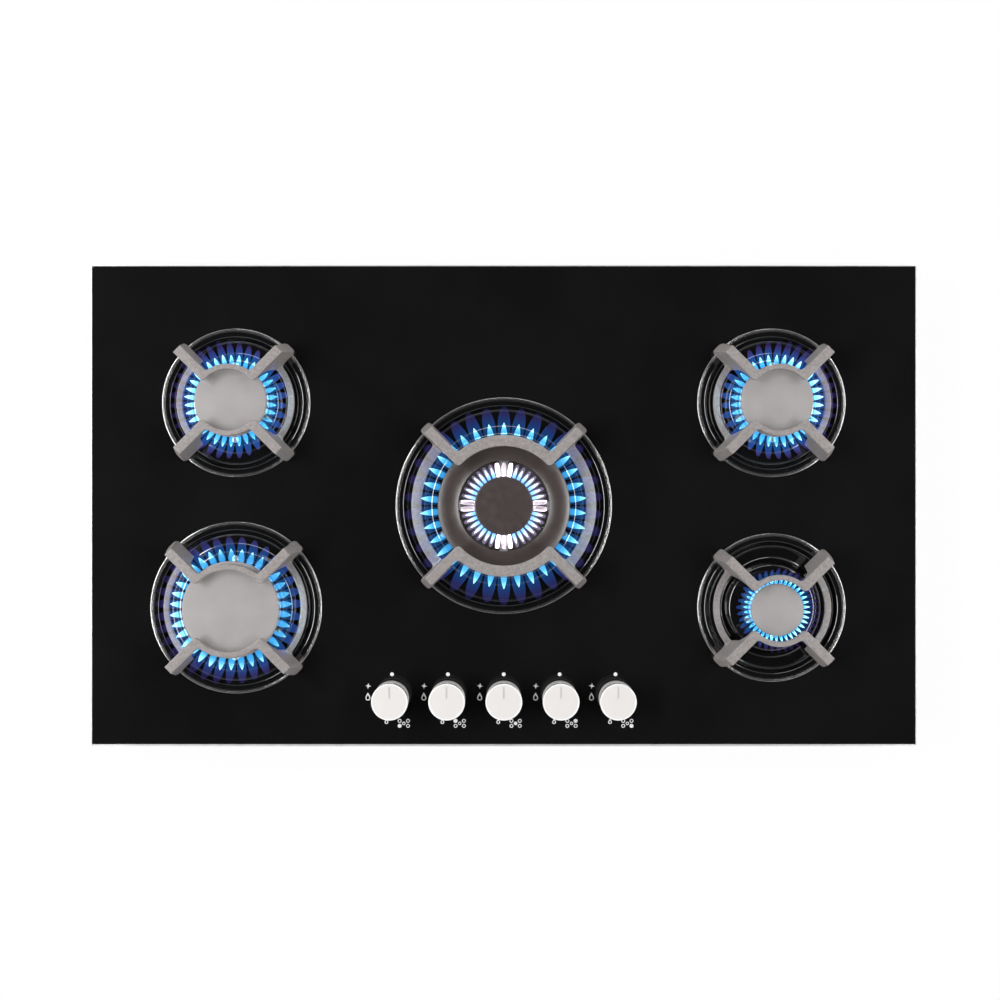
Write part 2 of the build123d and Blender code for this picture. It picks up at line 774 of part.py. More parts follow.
# ================================================================ taps, plugs, spindles, knobs
def d_shaft(radius, flat, bottom, top):
    """Round shaft with one flat that faces -Y."""
    shaft = disc(radius, bottom, top)
    return shaft - block(-2 * radius, 2 * radius, -2 * radius, -flat, bottom - radius, top + radius)


def gas_tap():
    """Tap body about the spindle axis: clamp on the rail, tapered bore, outlet to the pipe."""
    front = tap_depth / 2
    plug_low = tap_top_z - plug_sink - plug_height
    body = block(-tap_width / 2, tap_width / 2, -front, front, tap_bottom_z, tap_top_z)
    tap = chamfer(body.edges().filter_by(Axis.Z), tap_chamfer)
    tap += block(-tap_clamp_length / 2, tap_clamp_length / 2, -tap_to_rail, -front,
                 rail_z - tap_neck_height / 2, rail_z + tap_neck_height / 2)
    tap += Pos(0, -tap_to_rail, rail_z) * Rot(0, 90, 0) * Cylinder(tap_clamp_radius, tap_clamp_length)
    outlet = Pos(0, front, pipe_z) * Rot(-90, 0, 0)
    tap += outlet * disc(tap_outlet_radius, 0, tap_outlet_length)
    tap -= Pos(0, 0, plug_low) * Cone(plug_bottom_radius + running_gap, plug_top_radius + running_gap,
                                      plug_height, align=(Align.CENTER, Align.CENTER, Align.MIN))
    tap -= disc(plug_top_radius + running_gap, tap_top_z - plug_sink, tap_top_z + plug_sink)
    tap -= disc(plug_bottom_radius, tap_bottom_z + tap_floor, plug_low)
    tap -= Pos(0, -tap_to_rail, rail_z) * Rot(0, 90, 0) * Cylinder(rail_radius + running_gap, tap_width)
    tap -= outlet * disc(pipe_bore, -front, tap_outlet_length)
    tap -= outlet * disc(pipe_radius + running_gap, tap_outlet_length - pipe_socket, 2 * tap_outlet_length)
    return tap


def tap_plug():
    """Tapered plug that turns in the tap, with the D-hole for the spindle and its gas passage."""
    low = tap_top_z - plug_sink - plug_height
    plug = Pos(0, 0, low) * Cone(plug_bottom_radius, plug_top_radius, plug_height,
                                 align=(Align.CENTER, Align.CENTER, Align.MIN))
    plug -= d_shaft(spindle_radius + running_gap, spindle_flat + running_gap, tap_bottom_z, glass_z)
    passage = Pos(0, plug_top_radius, rail_z) * Rot(90, 0, 0) * Cylinder(pipe_bore / 2, plug_top_radius)
    return plug - passage


def knob():
    roof = knob_top_h - knob_roof
    shell = turned([(0, knob_top_h), (knob_top_radius - knob_chamfer, knob_top_h),
                    (knob_top_radius, knob_top_h - knob_chamfer), (knob_base_radius, knob_lift),
                    (knob_base_radius - knob_wall, knob_lift), (knob_base_radius - knob_wall, roof),
                    (knob_hub_radius, roof), (knob_hub_radius, knob_hub_h), (0, knob_hub_h)])
    shell -= d_shaft(spindle_radius + running_gap, spindle_flat + running_gap, 0, spindle_top_h)
    line = disc(2 * knob_top_radius, knob_line_h, knob_line_h + knob_line_width)
    shell -= line - disc(knob_top_radius - knob_line_depth, 0, knob_top_h)
    pointer = Rot(0, 0, 90) * SlotOverall(pointer_end - pointer_start, pointer_width)
    place = Pos(0, (pointer_start + pointer_end) / 2, knob_top_h - pointer_depth)
    return shell - place * extrude(pointer, 2 * pointer_depth)


def knob_seal():
    """Rubber grommet in the glass round a spindle."""
    bore = spindle_radius + loose_gap
    stem = glass_hole_radius - fit_gap
    return turned([(bore, -glass_thickness), (stem, -glass_thickness), (stem, 0), (knob_seal_radius, 0),
                   (knob_seal_radius - knob_seal_bevel, knob_seal_height), (bore, knob_seal_height)])


def tap_bracket():
    """Channel strip on the tray floor that carries the taps."""
    half = knob_xs[-1] + tap_bracket_margin
    width = tap_depth / 2
    outline = [(-width, tray_sheet), (-width, tap_bottom_z), (width, tap_bottom_z), (width, tray_sheet),
               (width - bracket_sheet, tray_sheet), (width - bracket_sheet, tap_bottom_z - bracket_sheet),
               (-width + bracket_sheet, tap_bottom_z - bracket_sheet), (-width + bracket_sheet, tray_sheet)]
    strip = extrude(Plane.YZ * make_face(Polyline(*outline, close=True)), half, both=True)
    return Pos(0, knob_y, 0) * strip


def switch_strip():
    """Moulded bar on top of the taps with one ignition switch beside each spindle."""
    half = knob_xs[-1] + tap_bracket_margin
    width = switch_bar_width / 2
    bar = block(-half, half, -width, width, tap_top_z, tap_top_z + switch_bar_height)
    for x in knob_xs:
        bar += Pos(x, 0, tap_top_z) * disc(switch_hub_radius, 0, switch_bar_height)
        left = x + switch_hole + switch_hub_gap
        bar += block(left, left + switch_box_length, -switch_box_width / 2, switch_box_width / 2,
                     tap_top_z, tap_top_z + switch_box_height)
    bar -= [Pos(x, 0, 0) * disc(switch_hole, tap_bottom_z, glass_z) for x in knob_xs]
    return Pos(0, knob_y, 0) * bar


# ================================================================ gas pipes, rail and inlet
def tube(path, outer, bore):
    """Round tube swept along a path of straight runs and tangent arcs."""
    section = Plane(origin=path @ 0, z_dir=path % 0)
    return sweep(section * Circle(outer), path=path) - sweep(section * Circle(bore), path=path)


def burner_pipe(burner, knob_x):
    """Pipe on the tray floor, straight back from a tap outlet and across to the boss of a burner cup."""
    start = (knob_x, tap_outlet_y - pipe_socket, pipe_z)
    inset = cup_boss_radius - pipe_socket
    end = Vector(burner.x, burner.y, pipe_z) + Vector(inset, 0, 0).rotate(Axis.Z, burner.toward)
    if burner is wok:
        return tube(Line(start, end), pipe_radius, pipe_bore)
    corner = (knob_x, burner.y, pipe_z)
    return tube(FilletPolyline(start, corner, end, radius=pipe_bend), pipe_radius, pipe_bore)


def burner_pipes():
    """The outer taps feed the front burners, the next two the rear ones, the middle one the wok burner."""
    fed = (front_left, rear_left, wok, rear_right, front_right)
    return group([burner_pipe(burner, x) for burner, x in zip(fed, knob_xs)])


def gas_rail():
    """Supply pipe behind the front wall, round the right side, to the inlet fitting."""
    end_y = recess_wall_y() - tray_sheet - inlet_nut_length + inlet_socket
    path = FilletPolyline((knob_xs[0] - rail_end, rail_y, rail_z), (rail_x, rail_y, rail_z),
                          (rail_x, end_y, rail_z), radius=rail_bend)
    rail = tube(path, rail_radius, rail_bore)
    plug = Pos(knob_xs[0] - rail_end, rail_y, rail_z) * Rot(0, -90, 0)
    return rail + plug * disc(rail_radius, 0, rail_plug_length)


def gas_inlet():
    """Brass inlet: socket for the rail inside the tray, hexagon and threaded end in the recess."""
    wall = recess_wall_y()
    inside = -tray_sheet - inlet_nut_length
    outside = inlet_hex_length + inlet_thread_length
    body = disc(inlet_nut_radius, inside, -tray_sheet) + disc(inlet_thread_radius, -tray_sheet, outside)
    body += extrude(RegularPolygon(inlet_hex, 6), inlet_hex_length)
    body -= disc(inlet_bore, inside, outside)
    body -= disc(rail_radius + running_gap, inside, inside + inlet_socket)
    return Pos(rail_x, wall, rail_z) * Rot(-90, 0, 0) * body


# ================================================================ ignition generator and clamps
def ignition_generator():
    base = tray_sheet
    box = Pos(0, 0, base + generator_height / 2) * Box(generator_length, generator_depth, generator_height)
    box = fillet(box.edges().filter_by(Axis.Z), generator_corner)
    pitch = generator_length / generator_terminals
    for i in range(generator_terminals):
        x = (i - (generator_terminals - 1) / 2) * pitch
        box += Pos(x, 0, base + generator_height) * disc(terminal_radius, 0, terminal_height)
    return Pos(tray_length / 2 - generator_from_side, knob_y + generator_from_knobs, 0) * box


def hold_down_clamp(x, y, way):
    """Bent strip screwed up into its pocket in the tray floor, hooked under the worktop."""
    top = clamp_pocket_height
    low = top - clamp_sheet
    out = clamp_outside
    outline = [(-clamp_inside, low), (out, low), (out + clamp_hook_run, low + clamp_hook_rise),
               (out + clamp_hook_run, top + clamp_hook_rise), (out, top), (-clamp_inside, top)]
    strip = extrude(Plane.YZ * make_face(Polyline(*outline, close=True)), clamp_width / 2, both=True)
    strip -= Pos(0, -clamp_screw_inset, 0) * disc(screw_shank + fit_gap, 0, 2 * top)
    turn = 0 if way > 0 else 180
    return Pos(x, y, 0) * Rot(0, 0, turn) * strip


# ================================================================ every node
save(glass_panel(), "glass_panel")
save(edge_trim(), "edge_trim")
save(worktop_seal(), "worktop_seal")
save(base_tray(), "base_tray")
save(group([burner.place(trim_ring(burner)) for burner in burners]), "trim_rings")
save(group([burner_bracket(burner) for burner in burners]), "burner_brackets")
save(group([hold_down_clamp(*place) for place in clamp_places()]), "hold_down_clamps")
save(fixing_screws(), "fixing_screws")
save(group([burner.place(injector()) for burner in burners]), "gas_injectors")
save(group([burner.place(electrode(burner)) for burner in burners]), "spark_electrodes")
save(group([burner.place(thermocouple(burner)) for burner in burners]), "thermocouples")

for burner in burners:
    save(burner.place(spill_bowl(burner)), f"{burner.name}_spill_bowl")
    save(burner.place(burner_cup(burner)), f"{burner.name}_burner_cup")

for burner in round_burners:
    save(burner.place(flame_crown(burner)), f"{burner.name}_flame_crown")
    save(burner.place(burner_cap(burner.cap)), f"{burner.name}_cap")

save(wok.place(wok_crown()), "wok_flame_crown")
save(wok.place(wok_ring_cap()), "wok_ring_cap")
save(wok.place(burner_cap(wok_centre_cap_radius)), "wok_centre_cap")

for burner in (rear_left, rear_right, front_right):
    small = pan_support(burner, small_arc_radius, small_arc_width, small_base_radius, small_base_width)
    save(burner.place(small), f"{burner.name}_pan_support")

rapid = pan_support(front_left, rapid_arc_radius, rapid_arc_width, rapid_base_radius, rapid_base_width)
save(front_left.place(rapid), "front_left_pan_support")
large = pan_support(wok, wok_arc_radius, wok_arc_width, wok_base_radius, wok_base_width)
save(wok.place(large), "wok_pan_support")

for i, x in enumerate(knob_xs):
    spindle = d_shaft(spindle_radius, spindle_flat, spindle_bottom_z, glass_z + spindle_top_h)
    save(Pos(x, knob_y, 0) * spindle, f"tap_spindle_{i + 1}")
    save(Pos(x, knob_y, 0) * tap_plug(), f"tap_plug_{i + 1}")
    save(Pos(x, knob_y, glass_z) * knob(), f"knob_{i + 1}")

save(group([Pos(x, knob_y, glass_z) * knob_seal() for x in knob_xs]), "knob_seals")
save(group([Pos(x, knob_y, 0) * gas_tap() for x in knob_xs]), "gas_taps")
save(tap_bracket(), "tap_bracket")
save(switch_strip(), "ignition_switch_strip")
save(burner_pipes(), "burner_pipes")
save(gas_rail(), "gas_rail")
save(gas_inlet(), "gas_inlet")
save(ignition_generator(), "ignition_generator")
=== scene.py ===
"""Looks of the five-burner gas cooktop: its pieces, the flames, and the camera, floor and light.

Sizes are millimetres and become metres where a mesh is made. Heights named *_H or *_h are above
the top of the glass.
"""
import json
from math import atan2, cos, pi, radians, sin, tan
from random import Random

import bmesh
import bpy
from mathutils import Matrix, Vector

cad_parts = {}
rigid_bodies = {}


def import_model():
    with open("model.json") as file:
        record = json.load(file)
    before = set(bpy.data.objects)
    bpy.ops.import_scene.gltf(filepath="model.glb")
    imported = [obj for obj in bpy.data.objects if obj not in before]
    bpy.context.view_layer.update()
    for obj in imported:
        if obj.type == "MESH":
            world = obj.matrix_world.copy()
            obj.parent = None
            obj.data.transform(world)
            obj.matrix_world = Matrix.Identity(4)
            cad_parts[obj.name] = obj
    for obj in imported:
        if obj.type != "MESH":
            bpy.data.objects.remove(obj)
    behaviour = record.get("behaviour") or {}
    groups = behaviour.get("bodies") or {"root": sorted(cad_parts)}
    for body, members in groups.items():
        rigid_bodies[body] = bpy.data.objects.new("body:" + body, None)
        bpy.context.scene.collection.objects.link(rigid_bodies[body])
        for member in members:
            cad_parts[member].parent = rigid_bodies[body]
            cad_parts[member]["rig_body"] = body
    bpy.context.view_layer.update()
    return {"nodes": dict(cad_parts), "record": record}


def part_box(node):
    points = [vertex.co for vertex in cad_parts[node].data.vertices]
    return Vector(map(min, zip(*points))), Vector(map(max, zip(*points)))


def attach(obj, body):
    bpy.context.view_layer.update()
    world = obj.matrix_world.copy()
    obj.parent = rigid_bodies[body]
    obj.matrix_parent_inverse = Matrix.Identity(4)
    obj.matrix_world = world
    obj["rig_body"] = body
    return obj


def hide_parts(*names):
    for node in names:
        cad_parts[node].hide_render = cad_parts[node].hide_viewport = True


MM = 0.001
SEGMENTS = 192
SHARP_ANGLE = radians(35)
BEVEL_ANGLE = radians(30)
CORNER_SHARE = 0.49  # most of a side that one rounded corner may take
ON_AXIS = 1e-6

# ---------------------------------------------------------------- trim rings and spill bowls
RING_GAP = 0.1
RING_WIDTH = 3.0
RING_HEIGHT = 1.6
RING_ROUND = 1.4
RING_FLANGE = 1.3
RING_SHEET = 0.5
BOWL_SHEET = 1.0
BOWL_FLANGE = 5.2
BOWL_SLOPE_RUN = 4.4
BOWL_TROUGH_H = -6.0
BOWL_RISE_RUN = 8.2
BOWL_PLATEAU_H = 3.0
BOWL_FILLETS = (0.4, 2.6, 7.0, 5.0, 3.2, 0.3)  # of the upper corners, from the edge inwards
BOWL_UNDER_FILLET = 0.6
COLLAR_MARGIN = 2.2
BOWL_UNDER_CROWN = 1.1

# ---------------------------------------------------------------- crowns
CROWN_SEAT_H = 8.0
CROWN_FLOOR_LOW_H = 8.2
CROWN_FLOOR_H = 11.0
CROWN_WALL = 4.0
CROWN_EDGE = 0.25
PORT_FLOOR_H = 17.8
PORT_SHARE = 0.5
TOOTH_STEPS = 4
FLOOR_OVERLAP = 0.3
TUBE_BORE = 7.5
TUBE_RADIUS = 11.0
TUBE_LOW_H = -18.0
WOK_CHANNEL = 47.7
ARM_HALF_WIDTH = 4.5
ARM_HEIGHT = 4.0
ARM_OVERLAP = 1.0

# ---------------------------------------------------------------- caps
CAP_RIM_H = 23.8
CAP_LIP_H = 20.8
CAP_UNDER_H = 25.0
CAP_TOP_H = 28.8
CAP_DOME = 0.8
CAP_ROUND = 2.2
CAP_OVERHANG = 1.5
LIP_GAP = 0.4
LIP_WALL = 2.5
WOK_CAP_INNER_DROP = 1.2
WOK_CAP_OUTER_DROP = 0.3
WOK_CAP_DISH = 3.0

# ---------------------------------------------------------------- castings
CAST_VOXEL = 0.7
CAST_SMOOTHING = 6
CAST_SHARE = 0.3

# ---------------------------------------------------------------- knobs and print
KNOB_SEGMENTS = 128
KNOB_RADIUS = 18.7
KNOB_FOOT_RADIUS = 18.1
KNOB_FACE_RADIUS = 17.2
KNOB_RIM_RADIUS = 17.45
KNOB_FACE_DROP = 0.15
KNOB_LOW_H = 3.8
KNOB_TOP_H = 29.5
KNOB_BAND = (17.0, 24.5)
KNOB_BAND_DEPTH = 0.6
KNOB_BAND_FROM = 17.0  # faces outside these radii take the looks of the band and the rim
# The rim's look is a near-white colour that paints the highlight of its polished edge.
KNOB_RIM_HIGHLIGHT_FROM = 17.25
KNOB_RIM_HIGHLIGHT_MARGIN = 0.2  # height over the band at which the rim's look begins
KNOB_CAVITY_RADIUS = 15.8
KNOB_CAVITY_H = 25.5
KNOB_BOSS_RADIUS = 7.0
KNOB_BOSS_H = 6.5
KNOB_BORE_RADIUS = 4.15
KNOB_BORE_H = 20.0
POINTER_START = 3.5
POINTER_END = 15.5
POINTER_WIDTH = 1.6
POINTER_DEPTH = 0.5
POINTER_STEPS = 12
PRINT_THICKNESS = 0.06
OUTLINE_STEPS = 28

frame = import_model()
nodes = frame["nodes"]
glass_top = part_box("glass_panel")[1].z / MM
SLOTS = {row["node"]: row["material_slot"] for row in frame["record"]["subparts"]}

BURNERS = ("rear_left", "rear_right", "front_left", "front_right", "wok")
PORTS = {"rear_left": 34, "rear_right": 34, "front_left": 34, "front_right": 38, "wok": 34}
WOK_CENTRE_PORTS = 38
KNOBS = range(1, 6)


# ================================================================ shader helpers
def map_range(tree, source, start, end, low, high):
    """A value taken from start and end to low and high, and held beyond them."""
    node = tree.nodes.new("ShaderNodeMapRange")
    for socket, value in (("From Min", start), ("From Max", end), ("To Min", low), ("To Max", high)):
        node.inputs[socket].default_value = value
    tree.links.new(source, node.inputs["Value"])
    return node.outputs["Result"]


def calculated(tree, operation, *values):
    """Result of a math node fed with sockets or numbers."""
    node = tree.nodes.new("ShaderNodeMath")
    node.operation = operation
    for value, socket in zip(values, node.inputs):
        if isinstance(value, bpy.types.NodeSocket):
            tree.links.new(value, socket)
        else:
            socket.default_value = value
    return node.outputs["Value"]


def colour_ramp(tree, source, stops):
    """Colour along a value, from stops of place and colour."""
    ramp = tree.nodes.new("ShaderNodeValToRGB")
    points = ramp.color_ramp.elements
    for place, _ in stops[1:-1]:
        points.new(place)
    for point, (place, colour) in zip(points, stops):
        point.position = place
        point.color = (*colour, 1)
    tree.links.new(source, ramp.inputs["Fac"])
    return ramp.outputs["Color"]


def mixed_shader(tree, share, first, second):
    node = tree.nodes.new("ShaderNodeMixShader")
    tree.links.new(share, node.inputs["Fac"])
    tree.links.new(first, node.inputs[1])
    tree.links.new(second, node.inputs[2])
    return node.outputs["Shader"]


def light_path(tree, ray):
    return tree.nodes.new("ShaderNodeLightPath").outputs[ray]


def seen_rays(tree):
    """One for rays from the camera, off gloss or through glass, and nought for the others."""
    seen = light_path(tree, "Is Camera Ray")
    for other in ("Is Glossy Ray", "Is Transmission Ray"):
        seen = calculated(tree, "MAXIMUM", seen, light_path(tree, other))
    return seen


# ================================================================ materials
NOISE_RANGE = (0.3, 0.7)
WEAR_SCALE = 2.3
GLOSS_SPREAD = (0.85, 1.2)
RELIEF_DEPTH = 0.0005
COAT_ROUGHNESS = 0.08
EDGE_POINTINESS = (0.53, 0.64)

# Colour, roughness and what differs from the defaults of finish_of().
FINISHES = {
    "black_glass": ((0.0062, 0.0061, 0.0062), 0.05, dict(tint=0.2, scale=9, grain=30, bump=0.004)),
    "edge_steel": ((0.82, 0.82, 0.815), 0.32, dict(metallic=0.45, grain=600, bump=0.02)),
    "chrome_ring": ((0.78, 0.77, 0.76), 0.14, dict(metallic=1.0, tint=0.03, bump=0.01)),
    "black_enamel": ((0.004, 0.004, 0.0043), 0.03,
                     dict(tint=0.2, grain=260, bump=0.004, coat=1.0, specular=0.9)),
    "grey_enamel": ((0.360, 0.342, 0.338), 0.42, dict(tint=0.05, scale=40, grain=1500, bump=0.10)),
    "dark_enamel": ((0.055, 0.042, 0.039), 0.33, dict(specular=1.0, tint=0.08, grain=1500, bump=0.10)),
    "support_enamel": ((0.295, 0.270, 0.262), 0.42, dict(tint=0.19, scale=400, grain=1300, bump=0.3)),
    "crown_alloy": ((0.55, 0.55, 0.56), 0.45, dict(metallic=0.9, grain=1800, bump=0.2)),
    "cup_alloy": ((0.48, 0.48, 0.49), 0.5, dict(metallic=0.9, grain=1500, bump=0.25)),
    "knob_metal": ((0.82, 0.79, 0.77), 0.34, dict(metallic=0.05, tint=0.02, grain=2200, bump=0.03)),
    # The knob's rim is painted near-white: a polished edge with its highlight painted in.
    "knob_rim_highlight": ((0.98, 0.975, 0.97), 0.2, dict(tint=0.01, grain=2200, bump=0.01, coat=0.6)),
    "knob_band": ((0.05, 0.048, 0.047), 0.32, dict(metallic=0.8, tint=0.04, grain=2200, bump=0.03)),
    # The pointer groove is painted a darker grey: painted shade in the groove.
    "knob_groove_shade": ((0.68, 0.66, 0.65), 0.4, dict(metallic=0.1, tint=0.04, grain=2200, bump=0.03)),
    "brass": ((0.72, 0.53, 0.24), 0.28, dict(metallic=1.0, grain=900, bump=0.05)),
    "tap_alloy": ((0.5, 0.5, 0.5), 0.45, dict(metallic=0.9, grain=1200, bump=0.2)),
    "pipe_alloy": ((0.6, 0.6, 0.61), 0.3, dict(metallic=1.0, grain=700, bump=0.05)),
    "pipe_steel": ((0.5, 0.5, 0.5), 0.35, dict(metallic=1.0, grain=700, bump=0.05)),
    "tray_steel": ((0.46, 0.47, 0.48), 0.42, dict(metallic=0.9, tint=0.16, scale=45, grain=300, bump=0.06)),
    "screw_steel": ((0.5, 0.5, 0.5), 0.35, dict(metallic=1.0, grain=900, bump=0.05)),
    "probe_steel": ((0.10, 0.097, 0.093), 0.55, dict(metallic=0.4, grain=900, bump=0.05)),
    "white_ceramic": ((0.2, 0.19, 0.175), 0.4, dict(tint=0.1, grain=600, bump=0.01)),
    "black_plastic": ((0.028, 0.028, 0.03), 0.5, dict(tint=0.1, grain=1200, bump=0.15)),
    "foam_rubber": ((0.03, 0.03, 0.03), 0.8, dict(tint=0.2, grain=1600, bump=0.5)),
    "printed_ink": ((0.84, 0.84, 0.83), 0.5, dict(tint=0.04, grain=900, bump=0.05)),
}


def noise(tree, coordinates, scale, detail=4.0):
    texture = tree.nodes.new("ShaderNodeTexNoise")
    texture.inputs["Scale"].default_value = scale
    texture.inputs["Detail"].default_value = detail
    tree.links.new(coordinates, texture.inputs["Vector"])
    return texture.outputs["Fac"]


def between(tree, factor, first, second):
    """Colour mixed between two colours by a factor."""
    node = tree.nodes.new("ShaderNodeMix")
    node.data_type = "RGBA"
    node.inputs["A"].default_value = (*first, 1)
    node.inputs["B"].default_value = (*second, 1)
    tree.links.new(factor, node.inputs["Factor"])
    return node.outputs["Result"]


def finish_of(name, colour, rough, metallic=0.0, tint=0.06, scale=60.0, grain=900.0, bump=0.02,
              coat=0.0, specular=0.5):
    """A surface with cloudy colour and gloss variation and a fine grain in relief."""
    made = bpy.data.materials.new(name)
    made.use_nodes = True
    tree = made.node_tree
    principled = tree.nodes["Principled BSDF"]
    coordinates = tree.nodes.new("ShaderNodeTexCoord").outputs["Object"]

    dark = [channel * (1 - tint) for channel in colour]
    light = [min(1.0, channel * (1 + tint)) for channel in colour]
    clouds = map_range(tree, noise(tree, coordinates, scale), *NOISE_RANGE, 0, 1)
    tree.links.new(between(tree, clouds, dark, light), principled.inputs["Base Color"])

    wear = noise(tree, coordinates, scale * WEAR_SCALE)
    gloss = map_range(tree, wear, *NOISE_RANGE, *(rough * share for share in GLOSS_SPREAD))
    tree.links.new(gloss, principled.inputs["Roughness"])

    relief = tree.nodes.new("ShaderNodeBump")
    relief.inputs["Strength"].default_value = bump
    relief.inputs["Distance"].default_value = RELIEF_DEPTH
    tree.links.new(noise(tree, coordinates, grain, 2.0), relief.inputs["Height"])
    tree.links.new(relief.outputs["Normal"], principled.inputs["Normal"])

    principled.inputs["Metallic"].default_value = metallic
    principled.inputs["Coat Weight"].default_value = coat
    principled.inputs["Coat Roughness"].default_value = COAT_ROUGHNESS
    principled.inputs["Specular IOR Level"].default_value = specular
    return made


def edge_wear_and_highlight(made, gain):
    """Raised edges of a casting painted a little lighter than its faces: wear of the enamel, and a painted
    highlight along them.
    """
    tree = made.node_tree
    principled = tree.nodes["Principled BSDF"]
    colour = principled.inputs["Base Color"].links[0].from_socket
    pointiness = tree.nodes.new("ShaderNodeNewGeometry").outputs["Pointiness"]
    lighter = tree.nodes.new("ShaderNodeVectorMath")
    lighter.operation = "SCALE"
    tree.links.new(colour, lighter.inputs[0])
    tree.links.new(map_range(tree, pointiness, *EDGE_POINTINESS, 1.0, gain), lighter.inputs["Scale"])
    tree.links.new(lighter.outputs["Vector"], principled.inputs["Base Color"])


MATERIALS = {name: finish_of(name, colour, rough, **rest)
             for name, (colour, rough, rest) in FINISHES.items()}
# The support's edges are painted lighter, partly as a painted highlight.
edge_wear_and_highlight(MATERIALS["support_enamel"], 1.6)


# ================================================================ mesh helpers
def to_mesh(name, shape):
    """Mesh in metres from a bmesh in millimetres."""
    bmesh.ops.recalc_face_normals(shape, faces=shape.faces)
    for vertex in shape.verts:
        vertex.co *= MM
    mesh = bpy.data.meshes.new(name)
    shape.to_mesh(mesh)
    shape.free()
    return mesh


def to_object(name, shape, material, body, place=(0, 0, 0)):
    """Object from a bmesh in millimetres, with its material, riding on a body."""
    mesh = to_mesh(name, shape)
    mesh.materials.append(MATERIALS[material])
    made = bpy.data.objects.new(name, mesh)
    bpy.context.scene.collection.objects.link(made)
    made.location = [value * MM for value in place]
    soften(made)
    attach(made, body)
    return made


def shaded(mesh):
    """Smooth shading with sharp edges kept."""
    mesh.shade_smooth()
    mesh.set_sharp_from_angle(angle=SHARP_ANGLE)


def soften(piece):
    """Smooth shading, with flat faces kept flat beside round ones."""
    shaded(piece.data)
    weighted = piece.modifiers.new("flat_faces", "WEIGHTED_NORMAL")
    weighted.keep_sharp = True


def bevelled(piece, width, segments):
    """Rounded edges, put before the shading modifier."""
    bevel = piece.modifiers.new("edges", "BEVEL")
    bevel.width = width * MM
    bevel.segments = segments
    bevel.limit_method = "ANGLE"
    bevel.angle_limit = BEVEL_ANGLE
    bevel.harden_normals = False
    piece.modifiers.move(len(piece.modifiers) - 1, 0)


def rounded(corners, steps=5):
    """Closed outline of (u, v, radius) corners with each radius drawn as a short arc."""
    points = []
    count = len(corners)
    for i in range(count):
        u, v, radius = corners[i]
        if radius <= 0:
            points.append((u, v))
            continue
        before = Vector(corners[i - 1][:2]) - Vector((u, v))
        after = Vector(corners[(i + 1) % count][:2]) - Vector((u, v))
        half = before.angle(after) / 2
        reach = min(radius / tan(half), CORNER_SHARE * before.length, CORNER_SHARE * after.length)
        size = reach * tan(half)
        inward = (before.normalized() + after.normalized()).normalized()
        middle = Vector((u, v)) + inward * (size / sin(half))
        start = Vector((u, v)) + before.normalized() * reach - middle
        end = Vector((u, v)) + after.normalized() * reach - middle
        first = atan2(start.y, start.x)
        turn = (atan2(end.y, end.x) - first + pi) % (2 * pi) - pi
        for step in range(steps + 1):
            angle = first + turn * step / steps
            points.append((middle.x + size * cos(angle), middle.y + size * sin(angle)))
    return points


def curve(first, middle, last, steps):
    """Points of the parabola through three (radius, height) points, without its ends."""
    points = []
    for i in range(1, steps):
        t = i / steps
        a, b, c = 2 * (t - 0.5) * (t - 1), -4 * t * (t - 1), 2 * t * (t - 0.5)
        points.append((*(a * p + b * q + c * r for p, q, r in zip(first, middle, last)), 0))
    return points


def around(outlines):
    """Corners of the faces between neighbouring outlines of as many vertices, closed from last to first."""
    faces = []
    for low, high in zip(outlines, outlines[1:] + outlines[:1]):
        for k in range(len(low)):
            after = (k + 1) % len(low)
            faces.append((low[k], low[after], high[after], high[k]))
    return faces


def turned(outline, segments=SEGMENTS):
    """Solid of revolution about Z from a closed (radius, height) outline."""
    made = bmesh.new()
    rings = []
    for radius, height in outline:
        if radius < ON_AXIS:
            rings.append([made.verts.new((0, 0, height))] * segments)
            continue
        turns = [2 * pi * k / segments for k in range(segments)]
        rings.append([made.verts.new((radius * cos(turn), radius * sin(turn), height)) for turn in turns])
    for corners in around(rings):
        corners = dict.fromkeys(corners)
        if len(corners) > 2:
            made.faces.new(corners)
    return made


def prism(outline, low, high):
    """Upright prism over a closed (x, y) outline."""
    made = bmesh.new()
    bottom = [made.verts.new((x, y, low)) for x, y in outline]
    top = [made.verts.new((x, y, high)) for x, y in outline]
    made.faces.new(bottom[::-1])
    made.faces.new(top)
    for i in range(len(outline)):
        after = (i + 1) % len(outline)
        made.faces.new((bottom[i], bottom[after], top[after], top[i]))
    return made


def joined(*parts):
    """One bmesh with all parts as separate shells."""
    whole = bmesh.new()
    for part in parts:
        held = bpy.data.meshes.new("held")
        part.to_mesh(held)
        part.free()
        whole.from_mesh(held)
        bpy.data.meshes.remove(held)
    return whole


def centre(node):
    low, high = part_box(node)
    return ((low.x + high.x) / 2 / MM, (low.y + high.y) / 2 / MM)


def outer_radius(node):
    low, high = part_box(node)
    return (high.x - low.x) / 2 / MM


def on_glass(x, y):
    return (x, y, glass_top)


# ================================================================ rings and bowls
def trim_rings():
    """The five polished rings round the bowls, in one piece."""
    rings = []
    for burner in BURNERS:
        x, y = centre(f"{burner}_spill_bowl")
        inner = outer_radius(f"{burner}_spill_bowl") + RING_GAP
        outer = inner + RING_WIDTH
        bead = inner + RING_FLANGE
        ring = turned(rounded([
            (inner, 0, 0), (outer, 0, 0), (outer, RING_HEIGHT, RING_ROUND), (bead, RING_HEIGHT, 0.2),
            (bead, RING_SHEET, 0.2), (inner, RING_SHEET, 0.1)], 6))
        bmesh.ops.translate(ring, verts=ring.verts, vec=(x, y, 0))
        rings.append(ring)
    made = to_object("polished_rings", joined(*rings), "chrome_ring", "root", place=on_glass(0, 0))
    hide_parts("trim_rings")


